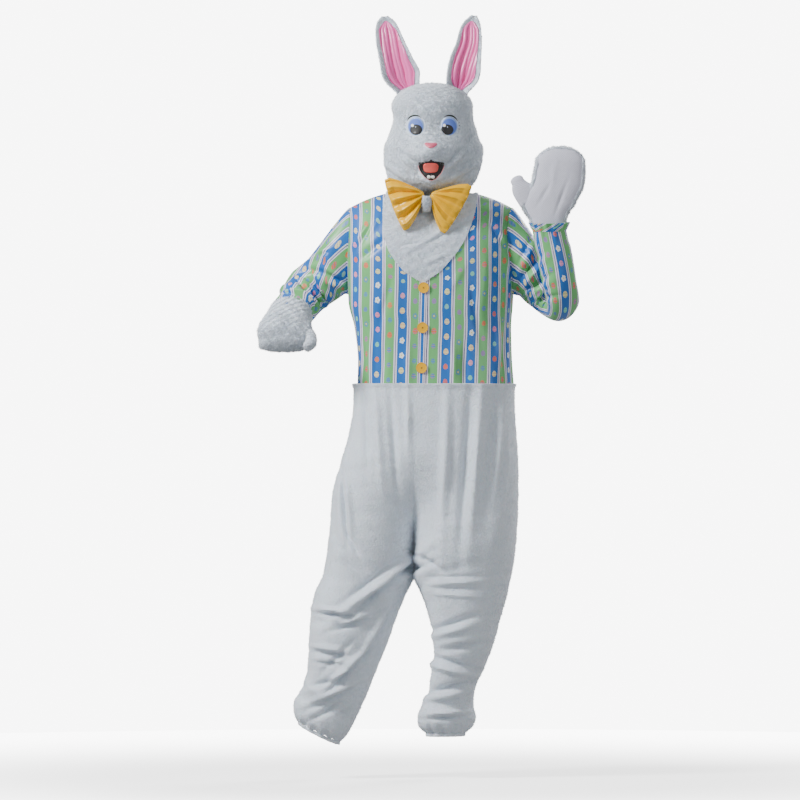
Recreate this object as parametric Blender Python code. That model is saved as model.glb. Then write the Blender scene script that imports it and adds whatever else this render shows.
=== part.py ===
"""Easter bunny costume: printed satin and plush jumpsuit, bow tie, mittens and a full-head mask with ears.

The set keeps the hollow form and pose of worn clothes. Its origin is at the shoulders, between the neck
points. The front faces -Y and Z is up. Forms and tables below are in millimetres; meshes are in metres.
Each cloth piece is a wall: a grid of outer points read from a form, given its thickness inwards.
"""
import math
from collections import namedtuple

import bmesh
import bpy
import numpy as np
from mathutils import Vector
from mathutils.bvhtree import BVHTree

MILLIMETRE = 0.001

# Walls and seams
SATIN_WALL = 1.6
PLUSH_WALL = 5.0
PALM_WALL = 1.6
MITTEN_WALL = 3.5
SEAM_GAP = 0.3
PLUSH_PROUD = 3.0

# The body is turned a little to its right: points move across by this share of their depth
TURN = 0.2


def signed_power(value, exponent):
    return math.copysign(abs(value) ** exponent, value)


def ease(value):
    value = min(max(value, 0.0), 1.0)
    return value * value * (3.0 - 2.0 * value)


def unit(vector):
    return vector / max(np.linalg.norm(vector), 1e-12)


def steady_slopes(keys, values):
    """Slopes at each row that never let the curve swing past its rows."""
    steps = np.diff(values, axis=0) / np.diff(keys)[:, None]
    slopes = np.zeros_like(values)
    slopes[0], slopes[-1] = steps[0], steps[-1]
    before, after = steps[:-1], steps[1:]
    steady = before * after > 0
    slopes[1:-1] = np.where(steady, 2 * before * after / np.where(steady, before + after, 1.0), 0.0)
    return slopes


class Table:
    """Rows of named columns, read smoothly between its rows by the first column."""

    def __init__(self, columns, rows):
        self.row_type = namedtuple("Section", columns)
        self.values = np.array(rows, dtype=float)
        self.keys = self.values[:, 0]
        self.slopes = steady_slopes(self.keys, self.values)

    def at(self, key):
        key = min(max(key, self.keys[0]), self.keys[-1])
        low = min(int(np.searchsorted(self.keys, key, side="right")) - 1, len(self.keys) - 2)
        step = self.keys[low + 1] - self.keys[low]
        part = (key - self.keys[low]) / step
        start, end = self.values[low], self.values[low + 1]
        rise_start, rise_end = self.slopes[low] * step, self.slopes[low + 1] * step
        curve = (
            start * (2 * part**3 - 3 * part**2 + 1)
            + rise_start * (part**3 - 2 * part**2 + part)
            + end * (3 * part**2 - 2 * part**3)
            + rise_end * (part**3 - part**2)
        )
        return self.row_type(*curve)


class Bag:
    """A tube of rounded sections that closes in a ridge across its end.

    Angle 0 is the end of the section on the side that `over` points to, 90 its front, 180 the other end
    and 270 its back. Stations 0 to 1 follow the table and 1 to 2 the closing ridge.
    """

    def __init__(self, rows, over, ridge, squareness=2.3, along=None, finish=None):
        self.rows = Table("station x y z wide front back", rows)
        self.over = np.array(over, dtype=float)
        self.ridge = ridge
        self.power = 2.0 / squareness
        self.along = None if along is None else np.array(along, dtype=float)
        self.finish = finish

    def frame(self, station):
        along = self.along
        if along is None:
            ahead, behind = self.rows.at(station + 0.04), self.rows.at(station - 0.04)
            along = unit(np.array([ahead.x - behind.x, ahead.y - behind.y, ahead.z - behind.z]))
        over = unit(self.over - along * float(self.over @ along))
        return along, over, np.cross(over, along)

    def __call__(self, angle, station):
        row = self.rows.at(station)
        across = signed_power(math.cos(math.radians(angle)), self.power)
        deep = signed_power(math.sin(math.radians(angle)), self.power)
        rise = math.radians(90.0 * max(station - 1.0, 0.0))
        depth = (row.front if deep > 0 else row.back) * math.cos(rise)
        along, over, face = self.frame(min(station, 1.0))
        point = np.array([row.x, row.y, row.z]) + over * row.wide * across + face * depth * deep
        point = point + along * self.ridge(across) * math.sin(rise)
        return self.finish(point, angle, station) if self.finish else point


def folds_at(folds, across, along):
    """The height at one place of a table of soft ridges and troughs, each with its own size and slant."""
    total = 0.0
    for fold in folds:
        slant = math.radians(fold.slant)
        out, up = across - fold.across, along - fold.along
        lengthwise = (out * math.cos(slant) + up * math.sin(slant)) / fold.length
        crosswise = (up * math.cos(slant) - out * math.sin(slant)) / fold.width
        total += fold.height * math.exp(-(lengthwise**2) - crosswise**2)
    return total


Fold = namedtuple("Fold", "across along slant length width height")


# Meshes

def make_material(name, colour, roughness):
    material = bpy.data.materials.new(name)
    material.use_nodes = True
    shader = material.node_tree.nodes["Principled BSDF"]
    channels = [int(colour[place:place + 2], 16) / 255.0 for place in (0, 2, 4)]
    linear = [value / 12.92 if value <= 0.04045 else ((value + 0.055) / 1.055) ** 2.4 for value in channels]
    shader.inputs["Base Color"].default_value = (*linear, 1.0)
    shader.inputs["Roughness"].default_value = roughness
    shader.inputs["Metallic"].default_value = 0.0
    material.diffuse_color = (*linear, 1.0)
    return material


def add_piece(name, vertices, faces, colour, roughness):
    """One closed piece from points in millimetres, its faces turned outwards."""
    mesh = bpy.data.meshes.new(name)
    mesh.from_pydata([Vector(point) * MILLIMETRE for point in vertices], [], faces)
    shape = bmesh.new()
    shape.from_mesh(mesh)
    bmesh.ops.triangulate(shape, faces=shape.faces[:])
    bmesh.ops.recalc_face_normals(shape, faces=shape.faces[:])
    shape.to_mesh(mesh)
    shape.free()
    piece = bpy.data.objects.new(name, mesh)
    bpy.context.collection.objects.link(piece)
    mesh.materials.append(make_material(name, colour, roughness))
    mesh.shade_smooth()
    return piece


def form_normal(form, angle, station):
    """The form's normal at one place, of unknown sign."""
    angle_step, station_step = 1.0, 0.004
    along_angle = form(angle + angle_step, station) - form(angle - angle_step, station)
    along_station = form(angle, station + station_step) - form(angle, station - station_step)
    if np.linalg.norm(along_angle) < 0.05:
        # at the corner of a closing ridge the sections draw together: take the middle of what lies beside it
        beside = [form_normal(form, angle + turn, station - 0.06) for turn in (-6.0, 6.0)]
        return unit(sum(beside))
    return unit(np.cross(along_station, along_angle))


def wall_grids(form, place, columns, stations, thickness, lift, facing, closed):
    """Outer and inner points of a wall, row by row."""
    count = columns if closed else columns + 1
    outer = np.zeros((len(stations), count, 3))
    normals = np.zeros_like(outer)
    for row, station in enumerate(stations):
        for column in range(count):
            where = place(column / columns, station)
            outer[row, column] = form(*where)
            normals[row, column] = form_normal(form, *where)
    if facing is None:
        middles = outer.mean(axis=1, keepdims=True)
        sign = np.sign(np.sum((outer - middles) * normals))
    else:
        sign = np.sign(np.sum(normals @ np.array(facing, dtype=float)))
    normals = normals * sign
    outer = outer + normals * lift
    return outer, outer - normals * thickness


def open_seams(outer, inner, seams):
    """Draw the named edges back by half the gap that lies between sewn pieces."""
    edges = {
        "first": (np.s_[:, 0], np.s_[:, 1]),
        "last": (np.s_[:, -1], np.s_[:, -2]),
        "bottom": (np.s_[0, :], np.s_[1, :]),
        "top": (np.s_[-1, :], np.s_[-2, :]),
        "first_corner": (np.s_[-1:, 0], np.s_[-2:-1, 1]),
        "last_corner": (np.s_[-1:, -1], np.s_[-2:-1, -2]),
    }
    shifts = []
    for seam in seams:
        edge, beside = edges[seam]
        inward = outer[beside] - outer[edge]
        lengths = np.linalg.norm(inward, axis=-1, keepdims=True)
        shifts.append((edge, inward / np.maximum(lengths, 1e-9) * SEAM_GAP / 2.0))
    for edge, shift in shifts:
        outer[edge] += shift
        inner[edge] += shift


def wall_faces(rows, count, closed):
    """Faces of a wall whose outer points come first and whose inner points follow."""
    layer = rows * count
    faces = []
    spans = count if closed else count - 1
    for row in range(rows - 1):
        for column in range(spans):
            beside = (column + 1) % count
            corners = [row * count + column, row * count + beside]
            corners += [(row + 1) * count + beside, (row + 1) * count + column]
            faces.append(corners)
            faces.append([layer + corner for corner in reversed(corners)])
    for row in (0, rows - 1):
        for column in range(spans):
            near, far = row * count + column, row * count + (column + 1) % count
            faces.append([near, far, layer + far, layer + near])
    if not closed:
        for column in (0, count - 1):
            for row in range(rows - 1):
                near, far = row * count + column, (row + 1) * count + column
                faces.append([near, far, layer + far, layer + near])
    return faces


def make_wall(name, form, place, columns, stations, thickness, colour, roughness,
              lift=0.0, seams=(), facing=None, closed=False, adjust=None):
    outer, inner = wall_grids(form, place, columns, stations, thickness, lift, facing, closed)
    open_seams(outer, inner, seams)
    if adjust:
        adjust(outer, inner)
    vertices = np.concatenate([outer.reshape(-1, 3), inner.reshape(-1, 3)])
    faces = wall_faces(len(stations), outer.shape[1], closed)
    return add_piece(name, vertices, faces, colour, roughness)


def seat_on(targets, gap, direction, back=60.0, reach=90.0):
    """A function that moves a wall's first row along a direction onto other pieces."""
    shape = bmesh.new()
    for target in targets:
        shape.from_mesh(target.data)
    tree = BVHTree.FromBMesh(shape)
    shape.free()
    way = Vector(direction).normalized()

    def lower(outer, inner):
        for grid in (outer, inner):
            for point in grid[0]:
                start = (Vector(point) - way * back) * MILLIMETRE
                hit = tree.ray_cast(start, way, reach * MILLIMETRE)[0]
                if hit is not None:
                    point[:] = np.array(hit / MILLIMETRE - way * gap)
    return lower


# Colours and roughness of the cloths

PRINT, BIB, PLUSH, PALM = ("7FB0B4", 0.45), ("F4F4F6", 0.95), ("EDEFF3", 0.95), ("D9DBE6", 0.8)
BOW, EAR_SATIN, BUTTON = ("F0C25A", 0.35), ("EDB4D2", 0.35), ("F2B92E", 0.3)
EYE, PUPIL, MOUTH, TONGUE = ("7FA6DA", 0.2), ("0A0A0C", 0.15), ("1A0E10", 0.5), ("E0705C", 0.4)


# Body of the jumpsuit top

TORSO_ROWS = [
    # station, x, y, z, wide, front, back
    (0.00, 13, 0, -492, 206, 122, 118),
    (0.25, 11, 0, -420, 203, 121, 116),
    (0.50, 6, 0, -346, 206, 124, 118),
    (0.75, 0, 0, -272, 217, 129, 122),
    (1.00, 0, 0, -200, 219, 130, 124),
]
SHOULDER_HEIGHT = 230.0
SHOULDER_DROP = 52.0

TORSO_FOLDS = [
    # softly hanging drapes over the waist seam, front and back
    Fold(40, 0.12, 90, 0.35, 7, 4),
    Fold(62, 0.08, 90, 0.25, 6, -3),
    Fold(118, 0.10, 90, 0.30, 6, 4),
    Fold(145, 0.15, 90, 0.35, 8, 4),
    Fold(215, 0.15, 90, 0.35, 8, 5),
    Fold(250, 0.10, 90, 0.30, 7, 4),
    Fold(290, 0.10, 90, 0.30, 7, 4),
    Fold(325, 0.15, 90, 0.35, 8, 5),
]


def torso_finish(point, angle, station):
    centre = TORSO.rows.at(station)
    out = unit(np.array([point[0] - centre.x, point[1], 0.0]) + 1e-9)
    point = point + out * folds_at(TORSO_FOLDS, angle % 360.0, station)
    point[0] += TURN * point[1]
    return point


TORSO = Bag(
    TORSO_ROWS,
    over=(1, 0, 0),
    along=(0, 0, 1),
    squareness=2.6,
    ridge=lambda across: SHOULDER_HEIGHT - SHOULDER_DROP * abs(across) ** 2.4,
    finish=torso_finish,
)

ARMPIT = 0.812
ARMHOLE_STATIONS = [ARMPIT, 0.86, 0.914, 0.945, 1.06, 1.2, 1.35, 1.5, 1.65, 1.8, 1.92, 2.0]
LOWER_STATIONS = [0.0, 0.12, 0.26, 0.4, 0.54, 0.68]

# The V neck and the placket below it: where the neck starts, and how far across the placket's ends are
NECK_POINT = 0.914
PLACKET_FOOT, PLACKET_TOP = -27.0, -20.0
NECK_LINE = Table("station left right", [
    # the two edges of the V neck, from its point up
    (NECK_POINT, PLACKET_TOP, PLACKET_TOP),
    (0.945, -38, -8),
    (1.06, -86, 38),
    (1.20, -116, 76),
    (1.35, -128, 100),
    (1.50, -129, 113),
    (1.65, -127, 120),
    (1.80, -122, 124),
    (2.00, -118, 126),
])


def armhole_angle(station):
    """How far the armhole cuts into the panels, in degrees from the side seam."""
    part = min(max((station - ARMPIT) / (2.0 - ARMPIT), 0.0), 1.0)
    return 8.0 * part + 13.0 * math.sin(math.pi * part)


def angle_at(form, x, station, near, far):
    """The angle between two others where a form reaches a given place across."""
    for _ in range(40):
        middle = (near + far) / 2.0
        if (form(middle, station)[0] - x) * (form(near, station)[0] - x) > 0:
            near = middle
        else:
            far = middle
    return (near + far) / 2.0


def front_edge(side, station):
    """The angle of a front's inner edge: the placket seam, then its side of the V neck."""
    if station <= NECK_POINT:
        x = placket_seam(station)
    else:
        edge = NECK_LINE.at(station)
        x = edge.right if side > 0 else edge.left
    return angle_at(TORSO, x, station, 20.0, 160.0) if side > 0 else angle_at(TORSO, x, station, 160.0, 20.0)


def front_place(side):
    def place(part, station):
        outer = armhole_angle(station) if side > 0 else 180.0 - armhole_angle(station)
        return outer + (front_edge(side, station) - outer) * part, station
    return place


BACK_NECK = 1.72
BACK_NECK_HALF = 122.0
BACK_NECK_DEPTH = 40.0


def back_place(side):
    def place(part, station):
        outer = -armhole_angle(station) if side > 0 else 180.0 + armhole_angle(station)
        inner = -90.0 if side > 0 else 270.0
        if station > BACK_NECK:
            reach = BACK_NECK_HALF * ((station - BACK_NECK) / (2.0 - BACK_NECK)) ** 0.6
            inner = angle_at(TORSO, side * reach + TURN * BACK_NECK_DEPTH, station, outer, inner)
        return outer + (inner - outer) * part, station
    return place


def make_top():
    stations = LOWER_STATIONS + ARMHOLE_STATIONS
    seams = ("first", "last", "top")
    for side, word in ((1, "left"), (-1, "right")):
        make_wall("top_front_" + word, TORSO, front_place(side), 7, stations, SATIN_WALL, *PRINT, seams=seams)
        make_wall("top_back_" + word, TORSO, back_place(side), 6, stations, SATIN_WALL, *PRINT, seams=seams)


# Placket and bib follow the same body form

PLACKET_HALF = 11.0
PLACKET_LIFT = SEAM_GAP + SATIN_WALL


def placket_seam(station):
    """How far across the placket's middle lies at a station."""
    return PLACKET_FOOT + (PLACKET_TOP - PLACKET_FOOT) * station / NECK_POINT


def placket_place(part, station):
    x = placket_seam(station) + PLACKET_HALF * (2.0 * part - 1.0)
    return angle_at(TORSO, x, station, 20.0, 160.0), station


BIB_FOOT = 0.945
BIB_TOP = 1.62
BIB_RISE = 2.0 - BIB_TOP


def bib_place(part, station):
    top = BIB_TOP + BIB_RISE * abs(2.0 * part - 1.0) ** 2.2
    share = (station - BIB_FOOT) / (2.0 - BIB_FOOT)
    own = BIB_FOOT + (top - BIB_FOOT) * share
    left, right = front_edge(-1, own), front_edge(1, own)
    return left + (right - left) * part, own


PLACKET_STATIONS = LOWER_STATIONS + [ARMPIT, 0.88, 0.935]


def make_placket_and_bib():
    make_wall("button_placket", TORSO, placket_place, 2, PLACKET_STATIONS, SATIN_WALL, *PRINT,
              lift=PLACKET_LIFT)
    stations = [s for s in ARMHOLE_STATIONS if s > NECK_POINT]
    make_wall("bib", TORSO, bib_place, 8, stations, PLUSH_WALL, *BIB,
              lift=PLUSH_PROUD, seams=("first", "last"))


BUTTON_STATIONS = [0.145, 0.51, 0.872]
BUTTON_ACROSS = 29.0
BUTTON_STEPS = 16
ButtonRing = namedtuple("ButtonRing", "radius height")
BUTTON_PROFILE = [
    ButtonRing(0.0, 0.0), ButtonRing(13.2, 0.0), ButtonRing(BUTTON_ACROSS / 2, 1.2),
    ButtonRing(BUTTON_ACROSS / 2, 2.6), ButtonRing(12.6, 4.2), ButtonRing(9.6, 4.2),
    ButtonRing(8.0, 3.0), ButtonRing(0.0, 3.0),
]


def make_button(name, station):
    """A turned button that sits flat on the placket."""
    angle = placket_place(0.5, station)[0]
    seat = TORSO(angle, station)
    normal = form_normal(TORSO, angle, station)
    normal = normal if normal[1] < 0 else -normal
    seat = seat + normal * (PLACKET_LIFT + SEAM_GAP)
    side = unit(np.cross((0, 0, 1), normal))
    up = np.cross(normal, side)
    steps = BUTTON_STEPS
    vertices = [seat]
    rings = BUTTON_PROFILE[1:-1]
    for ring in rings:
        for step in range(steps):
            turn = 2 * math.pi * step / steps
            out = side * math.cos(turn) + up * math.sin(turn)
            vertices.append(seat + normal * ring.height + ring.radius * out)
    vertices.append(seat + normal * BUTTON_PROFILE[-1].height)
    faces = []
    for step in range(steps):
        beside = (step + 1) % steps
        faces.append([0, 1 + beside, 1 + step])
        for ring in range(len(rings) - 1):
            low, high = 1 + ring * steps, 1 + (ring + 1) * steps
            faces.append([low + step, low + beside, high + beside, high + step])
        last = 1 + (len(rings) - 1) * steps
        faces.append([last + step, last + beside, len(vertices) - 1])
    add_piece(name, vertices, faces, *BUTTON)


# Sleeves

def sleeve_angles():
    """The angle round the sleeve of each armhole station, from the armpit to the shoulder."""
    heights = [TORSO(armhole_angle(station), station)[2] for station in ARMHOLE_STATIONS]
    middle, half = (heights[0] + heights[-1]) / 2.0, (heights[-1] - heights[0]) / 2.0
    return [math.degrees(math.acos(min(max((middle - height) / half, -1.0), 1.0))) for height in heights]


SLEEVE_ANGLES = sleeve_angles()
ARMHOLE_BLEND = 0.12


class Arm:
    """Sections that start at the armhole of one side, each with its own direction towards its top line."""

    def __init__(self, side, rows, folds):
        self.side = side
        self.rows = Table("station x y z tall deep up_x up_y up_z", rows)
        self.folds = folds

    def centre(self, station):
        row = self.rows.at(station)
        return np.array([row.x, row.y, row.z])

    def frame(self, station):
        row = self.rows.at(station)
        up = unit(np.array([row.up_x, row.up_y, row.up_z]))
        along = self.centre(min(station + 0.03, 1.0)) - self.centre(max(station - 0.03, 0.0))
        along = unit(along - up * float(along @ up))
        return along, up, np.cross(along, up) * self.side

    def armhole(self, angle):
        """The armhole at an angle: 0 the armpit, 90 its front, 180 the shoulder and 270 its back."""
        nearer = angle if angle <= 180.0 else 360.0 - angle
        station = float(np.interp(nearer, SLEEVE_ANGLES, ARMHOLE_STATIONS))
        cut = armhole_angle(station) * (1.0 if angle <= 180.0 else -1.0)
        point = TORSO(cut if self.side > 0 else 180.0 - cut, station)
        return point + np.array([self.side * SEAM_GAP, 0.0, 0.0])

    def __call__(self, angle, station):
        """Angle 0 is the armpit, 90 the front, 180 the top and 270 the back of the sleeve."""
        station = min(max(station, 0.0), 1.0)
        row = self.rows.at(station)
        _, up, front = self.frame(station)
        turn = math.radians(angle)
        swell = folds_at(self.folds, angle % 360.0, station * 100.0)
        ring = self.centre(station) - up * (row.tall + swell) * math.cos(turn)
        ring = ring + front * (row.deep + swell) * math.sin(turn)
        loose = station / ARMHOLE_BLEND
        if loose >= 1.0:
            return ring
        return self.armhole(angle % 360.0) * (1.0 - loose) + ring * loose


# The sleeve of the lowered arm: out and back to the elbow, then forward to the wrist
LOW_ARM = Arm(-1, [
    # station, x, y, z, tall, deep, up_x, up_y, up_z
    (0.00, -231, 0, -140, 114, 48, -0.05, 0, 1.00),
    (0.12, -248, 8, -163, 91, 56, -0.16, 0, 0.99),
    (0.26, -276, 24, -194, 76, 58, -0.32, 0, 0.95),
    (0.40, -305, 34, -223, 66, 55, -0.46, 0, 0.89),
    (0.54, -331, 28, -249, 61, 52, -0.60, 0, 0.80),
    (0.68, -354, 6, -273, 59, 52, -0.68, 0, 0.73),
    (0.84, -370, -28, -296, 56, 52, -0.72, 0, 0.69),
    (1.00, -377, -60, -312, 44, 44, -0.74, 0, 0.67),
], [
    Fold(60, 30, 25, 60, 8, -3),
    Fold(150, 64, -15, 60, 8, 4),
    Fold(60, 76, 10, 60, 8, 3),
    Fold(200, 56, 15, 60, 8, 4),
    Fold(200, 76, -10, 70, 7, -4),
    Fold(300, 50, 20, 60, 8, -3),
    Fold(150, 86, 10, 80, 6, 4),
    Fold(290, 84, 0, 80, 6, 3),
])

# The sleeve of the raised arm: down to the bent elbow, then up in front of itself
HIGH_ARM = Arm(1, [
    (0.00, 231, 0, -140, 114, 48, 0.05, 0, 1.00),
    (0.12, 249, 3, -166, 92, 56, 0.12, 0.02, 0.99),
    (0.24, 276, 10, -204, 72, 56, 0.30, 0.12, 0.94),
    (0.36, 305, 18, -243, 56, 47, 0.52, 0.32, 0.78),
    (0.46, 330, 8, -274, 48, 38, 0.68, 0.50, 0.52),
    (0.55, 346, -26, -289, 46, 35, 0.74, 0.58, 0.34),
    (0.64, 350, -68, -275, 46, 35, 0.75, 0.58, 0.30),
    (0.73, 344, -96, -234, 47, 41, 0.76, 0.59, 0.28),
    (0.86, 331, -114, -162, 47, 47, 0.78, 0.60, 0.16),
    (1.00, 315, -132, -86, 44, 44, 0.79, 0.61, 0.06),
], [
    Fold(60, 16, 20, 60, 7, -4),
    Fold(80, 25, -15, 55, 7, 3),
    Fold(180, 30, 10, 60, 7, 4),
    Fold(190, 48, 0, 60, 7, 4),
    Fold(260, 40, 0, 60, 7, 4),
    Fold(200, 62, 10, 50, 7, 4),
    Fold(270, 74, 10, 60, 7, 3),
    Fold(130, 88, 0, 60, 6, 3),
])

SLEEVE_CLEAR = 2.5
RUFFLE_WAVES = 16
RUFFLE_LENGTH = 22.0


def make_sleeve(name, arm, stations):
    angles = SLEEVE_ANGLES + [360.0 - angle for angle in SLEEVE_ANGLES[-2:0:-1]]

    shape = bmesh.new()
    for word in ("front_left", "front_right", "back_left", "back_right"):
        shape.from_mesh(bpy.data.objects["top_" + word].data)
    body = BVHTree.FromBMesh(shape)
    shape.free()

    def keep_clear(outer, inner):
        """At the armhole the wall's thickness never points back into the body, and stays outside beyond it."""
        toward = (inner[0, :, 0] - outer[0, :, 0]) * arm.side
        inner[0, :, 0] -= np.minimum(toward, 0.0) * arm.side
        for row in range(1, len(outer)):
            for outside, inside in zip(outer[row], inner[row]):
                start = Vector((arm.side * 600.0, inside[1], inside[2])) * MILLIMETRE
                hit = body.ray_cast(start, Vector((-arm.side, 0, 0)), 1.0)[0]
                if hit is not None and hit.x * arm.side > 0:
                    nearest = min(inside[0] * arm.side, outside[0] * arm.side)
                    push = max(hit.x / MILLIMETRE * arm.side + SLEEVE_CLEAR - nearest, 0.0)
                    inside[0] += arm.side * push
                    outside[0] += arm.side * push
    make_wall(name, arm, lambda part, station: (angles[round(part * len(angles))], station),
              len(angles), stations,
              SATIN_WALL, *PRINT, closed=True, adjust=keep_clear)


RUFFLE_CLEAR, RUFFLE_FLARE, RUFFLE_WAVE = 2.3, 7.5, 2.6


def make_ruffle(name, arm):
    """The gathered edge beyond the wrist elastic, in small waves."""
    end = arm.centre(1.0)
    along, up, front = arm.frame(1.0)
    row = arm.rows.at(1.0)

    def frill(angle, station):
        turn = math.radians(angle)
        wave = RUFFLE_WAVE * math.cos(RUFFLE_WAVES * turn) * (0.25 + 0.75 * station)
        radius = row.tall + RUFFLE_CLEAR + RUFFLE_FLARE * station + wave
        centre = end + along * (SEAM_GAP + RUFFLE_LENGTH * station)
        return centre + (front * math.sin(turn) - up * math.cos(turn)) * radius
    make_wall(name, frill, lambda part, station: (360.0 * part, station), RUFFLE_WAVES * 2,
              [0.0, 1.0], SATIN_WALL, *PRINT, closed=True)


def make_sleeves():
    low = [0.0, 0.06, 0.13, 0.22, 0.31, 0.4, 0.48, 0.55, 0.62, 0.69, 0.76, 0.84, 0.92, 1.0]
    high = [0.0, 0.06, 0.13, 0.21, 0.29, 0.36, 0.42, 0.48, 0.54, 0.6, 0.66, 0.74, 0.83, 0.92, 1.0]
    make_sleeve("sleeve_right", LOW_ARM, low)
    make_sleeve("sleeve_left", HIGH_ARM, high)
    make_ruffle("cuff_ruffle_right", LOW_ARM)
    make_ruffle("cuff_ruffle_left", HIGH_ARM)


# Trousers

CROTCH = 1000.0
HIP = 660.0

HipSection = namedtuple("HipSection", "drop left_side right_side seam front back")
HIP_SECTIONS = [
    HipSection(492.6, 221, -203, 12, 127, 123),
    HipSection(541, 221, -203, 4, 130, 128),
    HipSection(627, 225, -214, -8, 136, 136),
    HipSection(713, 230, -240, -18, 144, 146),
    HipSection(800, 230, -260, -28, 149, 151),
    HipSection(885, 227, -266, -38, 146, 147),
    HipSection(950, 222, -274, -43, 138, 136),
    HipSection(985, 217, -281, -45, 130, 128),
    HipSection(CROTCH, 214, -284, -45, 128, 126),
]
LEG_COLUMNS = "drop outer inner middle front back tilt"
LEG_LEFT = [
    # the wearer's left leg, on the side of the raised arm
    (1056, 202, -22, -3, 118, 118, 0),
    (1110, 187, -3, -5, 112, 112, 0),
    (1185, 166, 10, -6, 102, 102, 0),
    (1260, 138, 5, -4, 88, 90, 0),
    (1313, 116, -4, 0, 78, 80, 0),
    (1356, 113, -23, 0, 76, 78, 0),
    (1385, 119, -34, 0, 76, 78, 0),
    (1408, 112, -32, 0, 68, 72, 0),
    (1426, 92, -14, 0, 52, 56, 0),
]
LEG_RIGHT = [
    # the wearer's right leg, stepping out to the side
    (1056, -308, -70, -5, 122, 118, 0),
    (1110, -319, -92, -12, 116, 112, 0),
    (1185, -323, -121, -18, 106, 102, -0.05),
    (1260, -326, -154, -22, 90, 90, -0.15),
    (1313, -336, -178, -22, 80, 80, -0.28),
    (1350, -352, -198, -20, 76, 76, -0.38),
    (1377, -364, -214, -20, 74, 74, -0.45),
    (1400, -366, -228, -20, 68, 68, -0.5),
    (1420, -356, -244, -20, 52, 54, -0.52),
]

TROUSER_FOLDS = {
    1: [
        Fold(100, 640, 90, 130, 9, 6),
        Fold(70, 700, 92, 150, 8, -5),
        Fold(45, 800, 88, 180, 9, 5),
        Fold(120, 1010, 40, 60, 12, -6),
        Fold(90, 1180, 15, 40, 12, 5),
        Fold(60, 1290, -20, 40, 12, 5),
        Fold(90, 1345, 0, 60, 14, -6),
        Fold(250, 1000, 20, 60, 14, -6),
        Fold(270, 1180, -15, 50, 14, 6),
        Fold(290, 1330, 0, 60, 14, -5),
        Fold(250, 700, 90, 150, 9, 5),
    ],
    -1: [
        Fold(90, 1000, 70, 90, 9, -9),
        Fold(120, 1040, 60, 80, 9, 6),
        Fold(60, 760, 90, 160, 10, 5),
        Fold(70, 1130, 10, 50, 14, -7),
        Fold(120, 1190, 60, 80, 9, -6),
        Fold(90, 1235, -10, 60, 14, 6),
        Fold(60, 1320, 15, 50, 13, 6),
        Fold(100, 1355, 0, 60, 12, -6),
        Fold(250, 1020, 15, 60, 14, -7),
        Fold(270, 1170, -15, 50, 14, 6),
        Fold(270, 1330, 10, 60, 14, -5),
    ],
}


class Leg:
    """Half of the trousers: half a hip at the top, drawn into a round leg below the crotch.

    Angle 0 is the side seam, 90 the front, -90 the back and 180 or -180 the centre seam or inseam.
    """

    def __init__(self, side, rows):
        hips = [
            (hip.drop, hip.left_side if side > 0 else hip.right_side, hip.seam, 0, hip.front, hip.back, 0)
            for hip in HIP_SECTIONS
        ]
        self.rows = Table(LEG_COLUMNS, hips + rows)
        self.folds = TROUSER_FOLDS[side]

    def __call__(self, angle, station):
        row = self.rows.at(station)
        depth = row.front if angle >= 0 else row.back
        half_turn, turn = math.radians(angle / 2.0), math.radians(angle)
        hip_x = row.inner + (row.outer - row.inner) * signed_power(math.cos(half_turn), 2.0 / 2.6)
        hip_y = -depth * signed_power(math.sin(half_turn), 2.0 / 2.6)
        centre, half = (row.outer + row.inner) / 2.0, (row.outer - row.inner) / 2.0
        leg_x = centre + half * signed_power(math.cos(turn), 0.92)
        leg_y = -depth * signed_power(math.sin(turn), 0.92)
        legged = ease((station - HIP) / (CROTCH - HIP))
        point = np.array([hip_x + (leg_x - hip_x) * legged, hip_y + (leg_y - hip_y) * legged, 0.0])
        middle = np.array([row.inner + (row.outer - row.inner) * (0.25 + 0.25 * legged), 0.0, 0.0])
        away = min(abs(abs(angle) - 180.0) / 40.0, 1.0)
        point = point + unit(point - middle) * folds_at(self.folds, angle % 360.0, station) * away
        point[2] = -station + row.tilt * (point[0] - (row.outer + row.inner) / 2.0)
        point[1] += row.middle
        point[0] += TURN * (point[1] - row.middle)
        return point


LEG_STATIONS = [492.6, 530, 580, 640, 700, 765, 830, 890, 945, CROTCH,
                1040, 1085, 1130, 1175, 1220, 1265, 1305, 1340, 1370]
LEGS = {"left": Leg(1, LEG_LEFT), "right": Leg(-1, LEG_RIGHT)}
ANKLE_WAVES = 14
ANKLE_STEP = 11.0
ANKLE_WALL, ANKLE_WAVE, ANKLE_DRAWN_IN = 3.5, 1.8, 3.0


def make_trousers():
    for word, leg in LEGS.items():
        hem = leg.rows.keys[-1]
        stations = [s for s in LEG_STATIONS if s < hem - 30] + [hem - 28, hem - 10, hem]
        seams = ("first", "last")
        make_wall("trouser_front_" + word, leg, lambda part, drop: (180.0 * part, drop), 7, stations,
                  PLUSH_WALL, *PLUSH, seams=seams)
        make_wall("trouser_back_" + word, leg, lambda part, drop: (-180.0 * part, drop), 7, stations,
                  PLUSH_WALL, *PLUSH, seams=seams)
        make_casing("ankle_casing_" + word, leg, hem)


def make_casing(name, leg, hem):
    """The elastic casing at the ankle, drawn into even gathers."""
    centre = sum(leg(angle, hem) for angle in range(0, 360, 30)) / 12.0

    def gathered(angle, station):
        base = leg(angle, hem)
        out = unit(base - centre)
        wave = ANKLE_WAVE * math.cos(ANKLE_WAVES * math.radians(angle))
        down = np.array([0.0, 0.0, SEAM_GAP * 1.3 + ANKLE_STEP * station])
        return base + out * (wave - ANKLE_DRAWN_IN) - down
    make_wall(name, gathered, lambda part, station: (360.0 * part, station), ANKLE_WAVES * 2, [0.0, 1.0],
              ANKLE_WALL, *PLUSH, closed=True)


# Mask

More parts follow.
